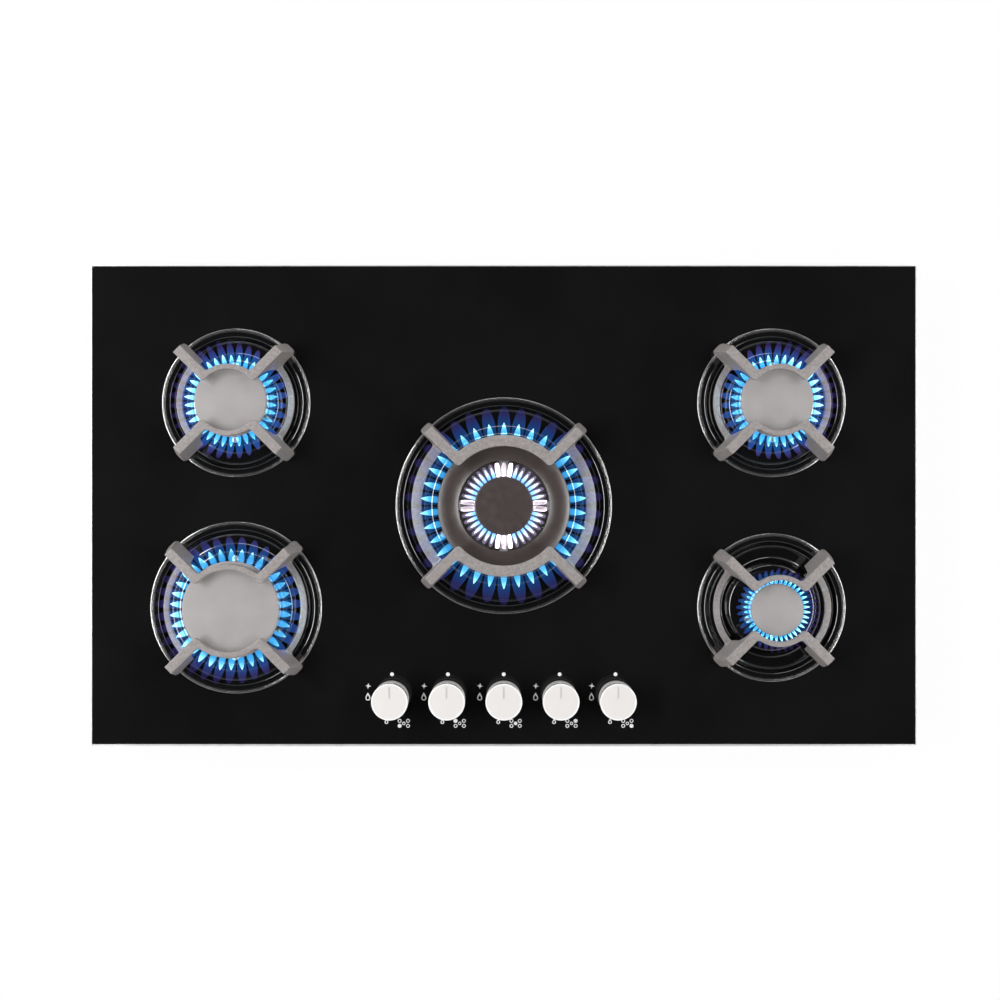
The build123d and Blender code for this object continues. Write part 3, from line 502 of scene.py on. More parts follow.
def spill_bowl(burner):
    """Pressed enamel bowl: flange, rounded slope into the trough, rise to the plateau round the burner."""
    node = f"{burner}_spill_bowl"
    edge = outer_radius(node)
    lip = edge - BOWL_FLANGE
    plateau = outer_radius(f"{burner}_burner_cup") + COLLAR_MARGIN
    hole = outer_radius(f"{burner}_flame_crown") - BOWL_UNDER_CROWN
    top = [(edge, BOWL_SHEET), (lip, BOWL_SHEET), (lip - BOWL_SLOPE_RUN, BOWL_TROUGH_H),
           (plateau + BOWL_RISE_RUN, BOWL_TROUGH_H), (plateau, BOWL_PLATEAU_H), (hole, BOWL_PLATEAU_H)]
    outline = [(*corner, fillet) for corner, fillet in zip(top, BOWL_FILLETS)]
    outline += [(radius, height - BOWL_SHEET, BOWL_UNDER_FILLET) for radius, height in reversed(top)]
    form = turned(rounded(outline, 8))
    made = to_object(f"{burner}_bowl", form, "black_enamel", "root", place=on_glass(*centre(node)))
    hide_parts(node)


# ================================================================ crowns and caps
def port_ring(radius, count):
    """Ring wall whose rim is cut by evenly spaced slots, as one closed mesh."""
    made = bmesh.new()
    pitch = 2 * pi / count
    columns = []  # angle, and whether a tooth stands between it and the next
    for i in range(count):
        slot_start = (i + 0.5 - PORT_SHARE / 2) * pitch
        slot_end = (i + 0.5 + PORT_SHARE / 2) * pitch
        run = pitch * (1 - PORT_SHARE)
        columns.append((slot_start, False))
        columns += [(slot_end + run * k / TOOTH_STEPS, True) for k in range(TOOTH_STEPS)]
    total = len(columns)

    def ring(r, h):
        return [made.verts.new((r * cos(a), r * sin(a), h)) for a, _ in columns]

    outer = [ring(radius, h) for h in (CROWN_SEAT_H, PORT_FLOOR_H, CAP_RIM_H)]
    inner = [ring(radius - CROWN_WALL, h) for h in (CROWN_SEAT_H, PORT_FLOOR_H, CAP_RIM_H)]
    for i in range(total):
        after = (i + 1) % total
        tooth = columns[i][1]
        made.faces.new((outer[0][i], outer[0][after], outer[1][after], outer[1][i]))
        made.faces.new((inner[0][after], inner[0][i], inner[1][i], inner[1][after]))
        made.faces.new((outer[0][after], outer[0][i], inner[0][i], inner[0][after]))
        level = 2 if tooth else 1
        made.faces.new((outer[level][i], outer[level][after], inner[level][after], inner[level][i]))
        if tooth:
            made.faces.new((outer[1][i], outer[1][after], outer[2][after], outer[2][i]))
            made.faces.new((inner[1][after], inner[1][i], inner[2][i], inner[2][after]))
        if tooth and not columns[i - 1][1]:
            made.faces.new((outer[1][i], outer[2][i], inner[2][i], inner[1][i]))
        if tooth and not columns[after][1]:
            made.faces.new((outer[1][after], inner[1][after], inner[2][after], outer[2][after]))
    bmesh.ops.delete(made, geom=[v for v in made.verts if not v.link_faces], context="VERTS")
    return made


def crown_floor(radius):
    """Floor inside the port ring with the mixing tube under it."""
    edge = radius - CROWN_WALL + FLOOR_OVERLAP
    return turned(rounded([
        (TUBE_BORE, CROWN_FLOOR_H, 1.0), (edge, CROWN_FLOOR_H, 0), (edge, CROWN_FLOOR_LOW_H, 0),
        (TUBE_RADIUS, CROWN_FLOOR_LOW_H, 1.0), (TUBE_RADIUS, TUBE_LOW_H, 0.5),
        (TUBE_BORE, TUBE_LOW_H, 0.5)]))


def crown_object(burner, parts):
    node = f"{burner}_flame_crown"
    made = to_object(f"{burner}_crown", joined(*parts), "crown_alloy", f"{burner}_crown",
                     place=on_glass(*centre(node)))
    bevelled(made, CROWN_EDGE, 2)
    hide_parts(node)


def flame_crown(burner):
    radius = outer_radius(f"{burner}_flame_crown")
    crown_object(burner, [port_ring(radius, PORTS[burner]), crown_floor(radius)])


def wok_centre_radius():
    return outer_radius("wok_centre_cap") - CAP_OVERHANG


def wok_crown():
    """Double crown: outer port ring with an inner wall, centre crown and four arms."""
    outer = outer_radius("wok_flame_crown")
    inner = WOK_CHANNEL
    floor_edge = outer - CROWN_WALL + FLOOR_OVERLAP
    small = wok_centre_radius()
    channel = turned(rounded([
        (inner, CROWN_SEAT_H, 0.5), (floor_edge, CROWN_SEAT_H, 0), (floor_edge, CROWN_FLOOR_H, 0),
        (inner + CROWN_WALL, CROWN_FLOOR_H, 1), (inner + CROWN_WALL, CAP_RIM_H, 0.4),
        (inner, CAP_RIM_H, 0.4)]))
    parts = [port_ring(outer, PORTS["wok"]), channel, port_ring(small, WOK_CENTRE_PORTS),
             crown_floor(small)]
    near, far, half = small - ARM_OVERLAP, inner + ARM_OVERLAP, ARM_HALF_WIDTH
    for quarter in range(4):
        arm = prism([(near, -half), (far, -half), (far, half), (near, half)], CROWN_SEAT_H,
                    CROWN_SEAT_H + ARM_HEIGHT)
        turn = Matrix.Rotation(quarter * pi / 2, 3, "Z")
        bmesh.ops.rotate(arm, verts=arm.verts, cent=(0, 0, 0), matrix=turn)
        parts.append(arm)
    crown_object("wok", parts)


def burner_cap(node, body, material):
    """Low domed cap with a soft edge and a locating lip under it."""
    radius = outer_radius(node)
    edge_h = CAP_TOP_H - CAP_DOME
    lip = radius - CAP_OVERHANG - CROWN_WALL - LIP_GAP
    dome = [(0, CAP_TOP_H, 0)]
    dome += curve((0, CAP_TOP_H), (radius / 2, CAP_TOP_H - CAP_DOME / 4), (radius, edge_h), 12)
    edge = [(radius, edge_h, CAP_ROUND), (radius, CAP_RIM_H, 0.5)]
    under = [(lip, CAP_RIM_H, 0.2), (lip, CAP_LIP_H, 0.4), (lip - LIP_WALL, CAP_LIP_H, 0.4),
             (lip - LIP_WALL, CAP_UNDER_H, 0.4), (0, CAP_UNDER_H, 0)]
    form = turned(rounded(dome + edge + under, 8))
    made = to_object(f"{node}_enamel", form, material, body, place=on_glass(*centre(node)))
    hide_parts(node)


def wok_ring_cap():
    """Annular cap, dished between a raised outer rim and a lower inner rim."""
    node = "wok_ring_cap"
    outer = outer_radius(node)
    inner = WOK_CHANNEL - CAP_OVERHANG
    inner_h = CAP_TOP_H - WOK_CAP_INNER_DROP
    outer_h = CAP_TOP_H - WOK_CAP_OUTER_DROP
    top = [(inner, inner_h, 0.6)]
    top += curve((inner, inner_h), ((inner + outer) / 2, CAP_TOP_H - WOK_CAP_DISH), (outer, outer_h), 18)
    top += [(outer, outer_h, 1.0), (outer, CAP_RIM_H, 0.4)]
    lip_out = outer - CAP_OVERHANG - CROWN_WALL - LIP_GAP
    lip_in = inner + CAP_OVERHANG + CROWN_WALL + LIP_GAP
    under = [(lip_out, CAP_RIM_H, 0), (lip_out, CAP_LIP_H, 0.3),
             (lip_out - LIP_WALL, CAP_LIP_H, 0.3), (lip_out - LIP_WALL, CAP_RIM_H, 0),
             (lip_in + LIP_WALL, CAP_RIM_H, 0), (lip_in + LIP_WALL, CAP_LIP_H, 0.3),
             (lip_in, CAP_LIP_H, 0.3), (lip_in, CAP_RIM_H, 0), (inner, CAP_RIM_H, 0.3)]
    form = turned(rounded(top + under))
    made = to_object(f"{node}_enamel", form, "dark_enamel", "wok_ring_lid", place=on_glass(*centre(node)))
    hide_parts(node)


def soft_casting(source):
    """The solid's form with every edge and corner softened as a casting's are."""
    work = bpy.data.objects.new("work", source.data.copy())
    bpy.context.scene.collection.objects.link(work)
    voxels = work.modifiers.new("voxels", "REMESH")
    voxels.mode = "VOXEL"
    voxels.voxel_size = CAST_VOXEL * MM
    smooth = work.modifiers.new("smooth", "SMOOTH")
    smooth.iterations = CAST_SMOOTHING
    fewer = work.modifiers.new("fewer", "DECIMATE")
    fewer.ratio = CAST_SHARE
    mesh = bpy.data.meshes.new_from_object(work.evaluated_get(bpy.context.evaluated_depsgraph_get()))
    bpy.data.objects.remove(work)
    mesh.shade_smooth()
    return mesh


def casting(node):
    """Pan support in place of its solid."""
    source = nodes[node]
    mesh = soft_casting(source)
    mesh.name = f"{node}_casting"
    mesh.materials.clear()
    mesh.materials.append(MATERIALS["support_enamel"])
    made = bpy.data.objects.new(f"{node}_casting", mesh)
    bpy.context.scene.collection.objects.link(made)
    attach(made, source["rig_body"])
    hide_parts(node)


# ================================================================ knobs
def knob_side(height):
    """Radius of the slightly flared side at a height."""
    share = (height - KNOB_LOW_H) / (KNOB_TOP_H - KNOB_LOW_H)
    return KNOB_FOOT_RADIUS + (KNOB_RADIUS - KNOB_FOOT_RADIUS) * share


def knob_outline():
    low, high = KNOB_BAND
    face_h = KNOB_TOP_H - KNOB_FACE_DROP
    return [
        (0, face_h, 0), (KNOB_FACE_RADIUS, face_h, 0.1), (KNOB_RIM_RADIUS, KNOB_TOP_H, 0.15),
        (KNOB_RADIUS, KNOB_TOP_H, 1.2),
        (knob_side(high), high, 0.15), (knob_side(high) - KNOB_BAND_DEPTH, high, 0.1),
        (knob_side(low) - KNOB_BAND_DEPTH, low, 0.1), (knob_side(low), low, 0.15),
        (KNOB_FOOT_RADIUS, KNOB_LOW_H, 0.6),
        (KNOB_CAVITY_RADIUS, KNOB_LOW_H, 0.4), (KNOB_CAVITY_RADIUS, KNOB_CAVITY_H, 1.0),
        (KNOB_BOSS_RADIUS, KNOB_CAVITY_H, 1.0), (KNOB_BOSS_RADIUS, KNOB_BOSS_H, 0.5),
        (KNOB_BORE_RADIUS, KNOB_BOSS_H, 0.3), (KNOB_BORE_RADIUS, KNOB_BORE_H, 0), (0, KNOB_BORE_H, 0)]


def pointer_outline():
    """Slot with round ends, along the pointer."""
    radius = POINTER_WIDTH / 2
    points = []
    for middle, first in ((POINTER_END - radius, 0), (POINTER_START + radius, pi)):
        for i in range(POINTER_STEPS):
            angle = first + pi * i / (POINTER_STEPS - 0.5)
            points.append((radius * cos(angle), middle + radius * sin(angle)))
    return points


def knob(number):
    """Turned knob: satin top with a pointer groove painted darker as painted shade, a polished rim painted
    near-white as its painted highlight, and a dark band round the side.
    """
    node = f"knob_{number}"
    form = turned(rounded(knob_outline(), 4), KNOB_SEGMENTS)
    made = to_object(f"{node}_turned", form, "knob_metal", node, place=on_glass(*centre(node)))
    for name in ("knob_rim_highlight", "knob_band", "knob_groove_shade"):
        made.data.materials.append(MATERIALS[name])
    low, high = KNOB_BAND
    for face in made.data.polygons:
        middle = face.center / MM
        radius = middle.xy.length
        if middle.z > high + KNOB_RIM_HIGHLIGHT_MARGIN and radius > KNOB_RIM_HIGHLIGHT_FROM:
            face.material_index = 1
        elif low < middle.z < high and radius > KNOB_BAND_FROM:
            face.material_index = 2
    # The groove's faces take the last material, a darker grey that paints the shade in the groove.
    pointer = prism(pointer_outline(), KNOB_TOP_H - POINTER_DEPTH, KNOB_TOP_H + 1)
    cut_pointer(made, to_mesh("cutter", pointer))
    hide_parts(node)


def cut_pointer(made, mesh):
    """Takes the groove out of the piece's own mesh, with the last material on its faces."""
    for material in made.data.materials:
        mesh.materials.append(material)
    for face in mesh.polygons:
        face.material_index = len(mesh.materials) - 1
    tool = bpy.data.objects.new("cutter", mesh)
    tool.location = made.location
    bpy.context.scene.collection.objects.link(tool)
    cut = made.modifiers.new("cut", "BOOLEAN")
    cut.operation = "DIFFERENCE"
    cut.solver = "EXACT"
    cut.object = tool
    made.modifiers.move(len(made.modifiers) - 1, 0)
    shading = made.modifiers["flat_faces"]
    shading.show_viewport = False
    bpy.context.view_layer.update()
    result = bpy.data.meshes.new_from_object(made.evaluated_get(bpy.context.evaluated_depsgraph_get()))
    made.modifiers.remove(cut)
    shading.show_viewport = True
    made.data = result
    shaded(result)
    bpy.data.objects.remove(tool)


# ================================================================ printed symbols
# Places and sizes beside a knob, from its centre.
DOT = (0.0, 24.0, 2.0)
SPARK = (-24.8, 11.8, 3.1, 1.05)
HIGH_FLAME = ((-25.1, 0.9, 5.8, 8.4), (-25.1, 0.1, 3.4, 4.6))
LOW_FLAME = ((-5.8, -24.9, 4.2, 5.6), (-5.8, -25.4, 2.3, 2.9))
PLAN_PLACE = (12.3, -27.1)
PLAN_PITCH = (4.32, 2.6)
PLAN_RADIUS = 2.0
PLAN_CENTRE_RADIUS = 1.75
PLAN_LINE = 0.8
PLAN_SPREAD = 0.1  # more radius for the filled spot
PLAN = ((-1, -1), (-1, 1), (0, 0), (1, 1), (1, -1))  # burner of each knob, from the left
STAR_TILT = 0.12
DROP_POINT = 1.3  # power that draws a drop's end to a point
DROP_GAIN = 1.25  # gives back the width that this takes


def circle(x, y, radius):
    turns = [2 * pi * i / OUTLINE_STEPS for i in range(OUTLINE_STEPS)]
    return [(x + radius * cos(turn), y + radius * sin(turn)) for turn in turns]


def drop(x, y, width, height):
    """Outline of a flame drop: round below, drawn up to a point."""
    points = []
    for i in range(OUTLINE_STEPS):
        angle = 2 * pi * i / OUTLINE_STEPS
        across = sin(angle) * sin(angle / 2) ** DROP_POINT
        points.append((x + width / 2 * across * DROP_GAIN, y + height / 2 * cos(angle)))
    return points


def star(x, y, reach, waist):
    """Four-pointed star."""
    points = []
    for i in range(8):
        radius = waist if i % 2 else reach
        angle = pi / 4 * i - STAR_TILT
        points.append((x + radius * cos(angle), y + radius * sin(angle)))
    return points


def ringed(outer, inner):
    """Thin closed band between two outlines with the same number of points."""
    made = bmesh.new()
    sides = ((outer, 0), (outer, PRINT_THICKNESS), (inner, PRINT_THICKNESS), (inner, 0))
    for corners in around([[made.verts.new((x, y, height)) for x, y in line] for line, height in sides]):
        made.faces.new(corners)
    return made


def filled(outline):
    return prism(outline, 0, PRINT_THICKNESS)


def printed_symbols():
    """Off dot, spark, high and low flame and the burner plan beside each knob, as a thin print."""
    parts = []
    for number in KNOBS:
        x, y = centre(f"knob_{number}")
        parts.append(filled(circle(x + DOT[0], y + DOT[1], DOT[2])))
        parts.append(filled(star(x + SPARK[0], y + SPARK[1], *SPARK[2:])))
        for flame in (HIGH_FLAME, LOW_FLAME):
            parts.append(ringed(*(drop(x + across, y + up, *size) for across, up, *size in flame)))
        for spot in PLAN:
            px = x + PLAN_PLACE[0] + spot[0] * PLAN_PITCH[0]
            py = y + PLAN_PLACE[1] + spot[1] * PLAN_PITCH[1]
            radius = PLAN_CENTRE_RADIUS if spot == (0, 0) else PLAN_RADIUS
            if spot == PLAN[number - 1]:
                parts.append(filled(circle(px, py, radius + PLAN_SPREAD)))
            else:
                parts.append(ringed(circle(px, py, radius), circle(px, py, radius - PLAN_LINE)))
    to_object("printed_symbols", joined(*parts), "printed_ink", "root", place=on_glass(0, 0))


# ================================================================ flames
# They light the scene but are no part of the object.
FLAME_SIDES = 14
FLAME_STEPS = 16
FLAME_LOW_H = 20.8
BODY_START = 0.4  # how far bodies and cones reach back into their ports
CONE_START = 0.5
LENGTH_SPREAD = (0.93, 1.04)
CENTRE_LENGTH_SPREAD = (0.92, 1.04)
CONE_SPILL = 0.35  # light given to the scene, as a share of what the camera sees
BODY_SPILL = 1.1
CONE_POWER = 215.0
BODY_POWER = 104.0
CENTRE_CONE_POWER = 62.0
CENTRE_BODY_POWER = 6.0
TUFT_AND_LIT_ARM_POWER = 50.0
CONE_JITTER = 0.25  # degrees
CENTRE_JITTER = 0.3
RISE_BEND = 1.6  # power by which the middle line of a drop bends upwards
# The glow of these tufts also paints the light that the flames throw on the arms.
ARM_FLAMES = radians(12)  # ports this near an arm of the wok crown burn as tufts

# Share of a flame's length at which the pitch of its ports is taken for its width.
CONE_MIDDLE = 0.3
BODY_MIDDLE = 0.43
CENTRE_BODY_MIDDLE = 0.45

# Depth of a cone over its width, and the other widths and depths over that pitch.
CONE_DEPTH = 0.85
BODY_WIDTH = 0.43
BODY_DEPTH = 0.4
CENTRE_CONE_WIDTH = 0.31
TUFT_WIDTH = 0.46

# Start and length over a cone's length, and width and depth over its width, of the hollow in it.
HOLLOW_SHARES = (0.05, 0.62, 0.74, 0.76)
CENTRE_HOLLOW_SHARES = (0.04, 0.5, 0.6, 0.5)
HOLLOW_LIFT = 0.1

# Burner, length of cone and body, width of a cone over the port pitch, and strength of the bodies.
FLAMES = (("rear_left", 12.7, 25.4, 0.34, 1.0), ("rear_right", 12.7, 25.4, 0.34, 1.0),
          ("front_left", 15.0, 28.0, 0.34, 1.0), ("front_right", 9.5, 18.5, 0.33, 0.5),
          ("wok", 20.0, 36.0, 0.25, 1.0))
CENTRE_FLAME = 15.5
CENTRE_CONE_LENGTH = 0.9  # over the flame's length
CENTRE_BODY_LENGTH = 1.05
CENTRE_BODY_DEPTH = 2.0
TUFT_START = 0.4
TUFT_LIFT = 0.7
TUFT_DEPTH = 2.6

# Forms of the drops: rise of the middle line, and powers of swelling, tapering and thinning.
CONE = dict(rise=3.5, swell=0.38, taper=0.85)
HOLLOW = dict(rise=1.6, swell=0.4, taper=0.75)
BODY = dict(rise=14.0, swell=0.30, taper=0.42, thin=0.7)
TUFT = dict(rise=2.5, swell=0.2, taper=0.22)
CENTRE_CONE = dict(rise=1.3, swell=0.4, taper=0.8)
CENTRE_HOLLOW = dict(rise=0.5, swell=0.4, taper=0.75)
CENTRE_BODY = dict(rise=4.0, swell=0.25, taper=0.3)

# Colours along a flame from the port to its end: share of the length and emitted colour.
CONE_RAMP = ((0.0, (0.02, 0.20, 0.51)), (0.30, (0.035, 0.27, 0.54)), (0.55, (0.055, 0.34, 0.58)),
             (0.75, (0.12, 0.48, 0.67)), (0.90, (0.25, 0.65, 0.82)), (1.0, (0.34, 0.76, 0.90)))
BODY_RAMP = ((0.0, (0.02, 0.28, 1.0)), (0.45, (0.03, 0.26, 0.95)), (0.68, (0.05, 0.13, 0.62)),
             (0.85, (0.085, 0.06, 0.30)), (1.0, (0.02, 0.01, 0.06)))
CENTRE_CONE_RAMP = ((0.0, (0.02, 0.20, 0.5)), (0.35, (0.07, 0.30, 0.6)), (0.6, (0.35, 0.58, 0.7)),
                    (1.0, (0.9, 1.0, 1.0)))
CENTRE_BODY_RAMP = ((0.0, (0.03, 0.20, 1.0)), (0.3, (0.20, 0.26, 0.8)), (0.6, (0.55, 0.45, 0.8)),
                    (1.0, (0.5, 0.38, 0.6)))
# Pale glow of the tufts, which also paints the arms of the wok crown as lit by the flames.
TUFT_AND_LIT_ARM_RAMP = ((0.0, (0.7, 0.75, 1.0)), (0.3, (1.0, 0.86, 1.0)), (1.0, (1.0, 0.82, 0.95)))


def glow(name, stops, start, length, strength, spill):
    """Clear volume that only gives off light, coloured along the radius from start over length."""
    made = bpy.data.materials.new(name)
    made.use_nodes = True
    tree = made.node_tree
    tree.nodes.remove(tree.nodes["Principled BSDF"])
    flat = tree.nodes.new("ShaderNodeVectorMath")
    flat.operation = "MULTIPLY"
    flat.inputs[1].default_value = (1, 1, 0)
    tree.links.new(tree.nodes.new("ShaderNodeTexCoord").outputs["Object"], flat.inputs[0])
    radius = tree.nodes.new("ShaderNodeVectorMath")
    radius.operation = "LENGTH"
    tree.links.new(flat.outputs["Vector"], radius.inputs[0])
    share = map_range(tree, radius.outputs["Value"], start * MM, (start + length) * MM, 0, 1)
    light = tree.nodes.new("ShaderNodeEmission")
    tree.links.new(colour_ramp(tree, share, stops), light.inputs["Color"])
    level = map_range(tree, light_path(tree, "Is Camera Ray"), 0, 1, strength * spill, strength)
    tree.links.new(level, light.inputs["Strength"])
    tree.links.new(light.outputs["Emission"], tree.nodes["Material Output"].inputs["Volume"])
    return made


class Flames:
    """Closed shells of one glow at one burner."""

    def __init__(self, name, material, burner):
        self.name = name
        self.material = material
        self.burner = burner
        self.verts = []
        self.faces = []

    def shell(self, angle, start, length, low, wide, deep, rise, swell, taper, thin=0.0, inward=False):
        """One drawn-out drop along a ray: wide across, deep from top to bottom, swelling, then tapering."""
        peak = swell / (swell + taper)
        largest = peak ** swell * (1 - peak) ** taper
        first = len(self.verts)
        across = Vector((-sin(angle), cos(angle), 0))
        along = Vector((cos(angle), sin(angle), 0))
        for k in range(FLAME_STEPS + 1):
            t = (1 - cos(pi * k / FLAME_STEPS)) / 2
            middle = along * (start + length * t) + Vector((0, 0, low + rise * t ** RISE_BEND))
            if k in (0, FLAME_STEPS):
                self.verts.append(middle * MM)
                continue
            girth = t ** swell * (1 - t) ** taper / largest
            height = deep * girth * (1 - t) ** thin
            for m in range(FLAME_SIDES):
                turn = 2 * pi * m / FLAME_SIDES
                offset = across * (wide * girth * cos(turn)) + Vector((0, 0, height * sin(turn)))
                self.verts.append((middle + offset) * MM)
        last = len(self.verts) - 1
        rows = [first + 1 + FLAME_SIDES * k for k in range(FLAME_STEPS - 1)]
        made = []
        for m in range(FLAME_SIDES):
            after = (m + 1) % FLAME_SIDES
            made.append((first, rows[0] + m, rows[0] + after))
            made.append((rows[-1] + after, rows[-1] + m, last))
            for near, far in zip(rows, rows[1:]):
                made.append((near + m, far + m, far + after, near + after))
        self.faces += [face[::-1] for face in made] if inward else made

    def hollow(self, angle, radius, length, wide, shares, form):
        """Dark space in a cone at a port: a smaller drop that faces inwards."""
        start, long, across, deep = shares
        self.shell(angle, radius + start * length, length * long, FLAME_LOW_H + HOLLOW_LIFT, wide * across,
                   wide * deep, inward=True, **form)

    def finish(self):
        mesh = bpy.data.meshes.new(self.name)
        mesh.from_pydata(self.verts, [], self.faces)
        mesh.materials.append(self.material)
        made = bpy.data.objects.new(self.name, mesh)
        bpy.context.scene.collection.objects.link(made)
        made.location = [value * MM for value in on_glass(*centre(f"{self.burner}_flame_crown"))]
        made.visible_shadow = False
        made.visible_glossy = False
        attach(made, f"{self.burner}_crown")


def port_pitch(radius, length, share, count):
    """Distance between neighbouring flames at a share of their length."""
    return 2 * pi * (radius + length * share) / count


def port_angle(i, count, jitter, chance):
    """Middle of a port, a little off by chance."""
    return 2 * pi * (i + 0.5) / count + radians(chance.uniform(-jitter, jitter))


def flame_ring(burner, cone, body, slim, level, chance):
    """A hollow bright cone and a soft blue body at every port."""
    radius = outer_radius(f"{burner}_flame_crown")
    count = PORTS[burner]
    wide = slim * port_pitch(radius, cone, CONE_MIDDLE, count)
    pitch = port_pitch(radius, body, BODY_MIDDLE, count)
    cone_glow = glow(f"{burner}_cone", CONE_RAMP, radius, cone, CONE_POWER / wide, CONE_SPILL)
    body_glow = glow(f"{burner}_body", BODY_RAMP, radius, body, BODY_POWER * level / pitch, BODY_SPILL)
    cones = Flames(f"{burner}_cones", cone_glow, burner)
    bodies = Flames(f"{burner}_bodies", body_glow, burner)
    for i in range(count):
        angle = port_angle(i, count, CONE_JITTER, chance)
        stretch = chance.uniform(*LENGTH_SPREAD)
        long = cone * stretch
        cones.shell(angle, radius - CONE_START, long, FLAME_LOW_H, wide, wide * CONE_DEPTH, **CONE)
        cones.hollow(angle, radius, long, wide, HOLLOW_SHARES, HOLLOW)
        bodies.shell(angle, radius - BODY_START, body * stretch, FLAME_LOW_H, pitch * BODY_WIDTH,
                     pitch * BODY_DEPTH, **BODY)
    cones.finish()
    bodies.finish()


def from_nearest_arm(angle):
    """Angle from the nearest of the wok crown's four arms."""
    return min(abs((angle - quarter * pi / 2 + pi) % (2 * pi) - pi) for quarter in range(4))


def centre_flames(chance):
    """Short pale cones of the centre crown, joined to bright tufts over its four arms, whose glow also
    paints the light that the flames throw on the arms.
    """
    radius, count, length = wok_centre_radius(), WOK_CENTRE_PORTS, CENTRE_FLAME
    pitch = port_pitch(radius, length, CONE_MIDDLE, count)
    far_pitch = port_pitch(radius, length, CENTRE_BODY_MIDDLE, count)
    wide = CENTRE_CONE_WIDTH * pitch
    cone_glow = glow("centre_cone", CENTRE_CONE_RAMP, radius, length, CENTRE_CONE_POWER / wide, CONE_SPILL)
    body_glow = glow("centre_body", CENTRE_BODY_RAMP, radius, length, CENTRE_BODY_POWER, CONE_SPILL)
    tuft_and_lit_arm_glow = glow("centre_tuft", TUFT_AND_LIT_ARM_RAMP, radius, length, TUFT_AND_LIT_ARM_POWER, CONE_SPILL)
    cones = Flames("wok_centre_cones", cone_glow, "wok")
    bodies = Flames("wok_centre_bodies", body_glow, "wok")
    tufts = Flames("wok_centre_tufts", tuft_and_lit_arm_glow, "wok")
    for i in range(count):
        angle = port_angle(i, count, CENTRE_JITTER, chance)
        long = length * chance.uniform(*CENTRE_LENGTH_SPREAD)
        if from_nearest_arm(angle) < ARM_FLAMES:
            tufts.shell(angle, radius + TUFT_START, length, FLAME_LOW_H + TUFT_LIFT, TUFT_WIDTH * pitch,
                        TUFT_DEPTH, **TUFT)
            continue
        cones.shell(angle, radius - CONE_START, long * CENTRE_CONE_LENGTH, FLAME_LOW_H, wide,
                    wide * CONE_DEPTH, **CENTRE_CONE)
        cones.hollow(angle, radius, long, wide, CENTRE_HOLLOW_SHARES, CENTRE_HOLLOW)
        bodies.shell(angle, radius - BODY_START, length * CENTRE_BODY_LENGTH, FLAME_LOW_H,
                     far_pitch * BODY_WIDTH, CENTRE_BODY_DEPTH, **CENTRE_BODY)
    cones.finish()
    bodies.finish()
    tufts.finish()


def flames():
    chance = Random(5)
    for sizes in FLAMES:
        flame_ring(*sizes, chance)
    centre_flames(chance)


# ================================================================ every piece
trim_rings()
for burner in BURNERS:
    spill_bowl(burner)
    if burner != "wok":
        flame_crown(burner)
        burner_cap(f"{burner}_cap", f"{burner}_lid", "grey_enamel")
    casting(f"{burner}_pan_support")
wok_crown()
wok_ring_cap()
burner_cap("wok_centre_cap", "wok_centre_lid", "dark_enamel")
for number in KNOBS:
    knob(number)
printed_symbols()
flames()

for name, part in nodes.items():
    part.data.materials.clear()
    part.data.materials.append(MATERIALS[SLOTS[name]])


# ================================================================ camera, floor and light
CAMERA_X = -3.95
CAMERA_Y = 5.9
CAMERA_H = 1200.0
CAMERA_LENS = 41.48
FLOOR_HALF = 12000.0
FLOOR_DROP = 0.2
FLOOR_GREY = 0.95
FLOOR_ROUGHNESS = 0.9
FLOOR_WHITE = 0.95  # share of plain white in the floor where it is seen; the rest keeps the shadow
SKY = ((0.0, (0.95, 0.95, 0.95)), (0.66, (0.85, 0.85, 0.85)), (0.92, (0.06, 0.06, 0.063)))
SIDE_LIGHT = (0.1, 0.8, 0.22, 0.95)  # strength from the middle to the sides
HORIZON = (0.12, 0.25, 1.0, 0.0)  # white share of the sky from low to high, for rays off gloss
LAMP_HEIGHT = 0.35  # metres, as the lamps' places and lengths are
LAMPS = (("left", (-1.38, 0.1, 1.45), 1.7, 26), ("right", (1.38, 0.0, 1.45), 1.7, 17),
         ("back", (0.0, 2.0, 1.5), 1.6, 7))


def camera():
    """View from straight above."""
    scene = bpy.context.scene
    scene.view_settings.view_transform = "Standard"
    lens = bpy.data.cameras.new("camera")
    lens.lens = CAMERA_LENS
    made = bpy.data.objects.new("camera", lens)
    made.location = (CAMERA_X * MM, CAMERA_Y * MM, (glass_top + CAMERA_H) * MM)
    scene.collection.objects.link(made)
    scene.camera = made


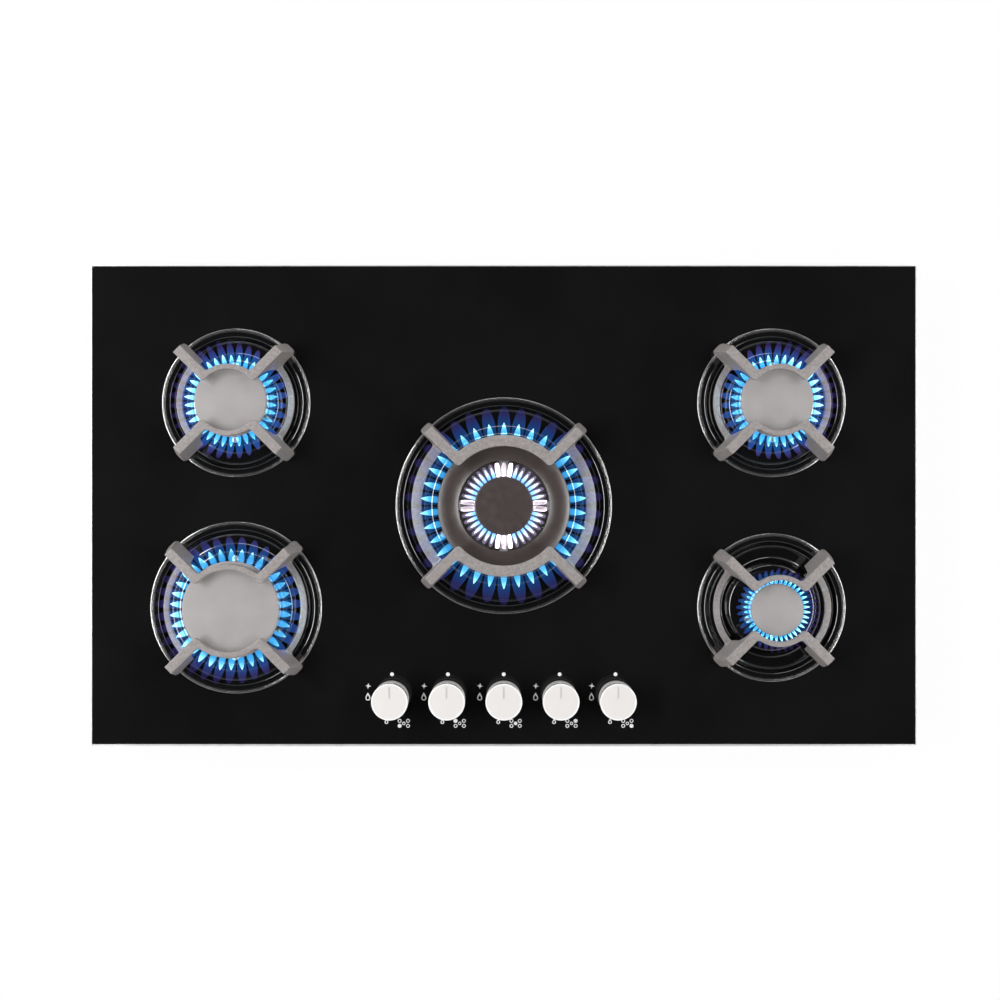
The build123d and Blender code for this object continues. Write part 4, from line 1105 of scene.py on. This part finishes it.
def floor_paint():
    """White floor that keeps the shadow, meets a white background and is clear from below."""
    made = bpy.data.materials.new("floor_white")
    made.use_nodes = True
    tree = made.node_tree
    surface = tree.nodes["Principled BSDF"]
    surface.inputs["Base Color"].default_value = (FLOOR_GREY, FLOOR_GREY, FLOOR_GREY, 1)
    surface.inputs["Roughness"].default_value = FLOOR_ROUGHNESS
    white = tree.nodes.new("ShaderNodeEmission").outputs["Emission"]
    clear = tree.nodes.new("ShaderNodeBsdfTransparent").outputs["BSDF"]
    below = tree.nodes.new("ShaderNodeNewGeometry").outputs["Backfacing"]
    share = calculated(tree, "MULTIPLY", seen_rays(tree), FLOOR_WHITE)
    above = mixed_shader(tree, share, surface.outputs["BSDF"], white)
    tree.links.new(mixed_shader(tree, below, above, clear), tree.nodes["Material Output"].inputs["Surface"])
    return made


def floor():
    mesh = bpy.data.meshes.new("floor")
    half = FLOOR_HALF * MM
    corners = [(-half, -half, 0), (half, -half, 0), (half, half, 0), (-half, half, 0)]
    mesh.from_pydata(corners, [], [(0, 1, 2, 3)])
    mesh.materials.append(floor_paint())
    made = bpy.data.objects.new("floor", mesh)
    made.location.z = -FLOOR_DROP * MM
    bpy.context.scene.collection.objects.link(made)


def sky():
    """Light from low down and the sides, dark overhead, and white wherever it is seen."""
    world = bpy.data.worlds.new("studio")
    bpy.context.scene.world = world
    world.use_nodes = True
    tree = world.node_tree
    axes = tree.nodes.new("ShaderNodeSeparateXYZ")
    tree.links.new(tree.nodes.new("ShaderNodeTexCoord").outputs["Generated"], axes.inputs["Vector"])
    light = tree.nodes["Background"]
    tree.links.new(colour_ramp(tree, axes.outputs["Z"], SKY), light.inputs["Color"])
    aside = calculated(tree, "ABSOLUTE", axes.outputs["X"])
    tree.links.new(map_range(tree, aside, *SIDE_LIGHT), light.inputs["Strength"])
    white = tree.nodes.new("ShaderNodeBackground")
    white.inputs["Color"].default_value = (1, 1, 1, 1)
    low = map_range(tree, axes.outputs["Z"], *HORIZON)
    mirrored = calculated(tree, "MULTIPLY", seen_rays(tree), low)
    share = calculated(tree, "MAXIMUM", mirrored, light_path(tree, "Is Camera Ray"))
    backdrop = mixed_shader(tree, share, light.outputs["Background"], white.outputs["Background"])
    tree.links.new(backdrop, tree.nodes["World Output"].inputs["Surface"])


def lamps():
    """Long lamps at the sides and back, all turned to the object."""
    for name, place, length, power in LAMPS:
        lamp = bpy.data.lights.new(name, "AREA")
        lamp.shape = "RECTANGLE"
        lamp.size = length
        lamp.size_y = LAMP_HEIGHT
        lamp.energy = power
        holder = bpy.data.objects.new(name, lamp)
        holder.location = place
        holder.rotation_euler = (Vector((0, 0, 0)) - Vector(place)).to_track_quat("-Z", "Y").to_euler()
        bpy.context.scene.collection.objects.link(holder)


camera()
floor()
sky()
lamps()
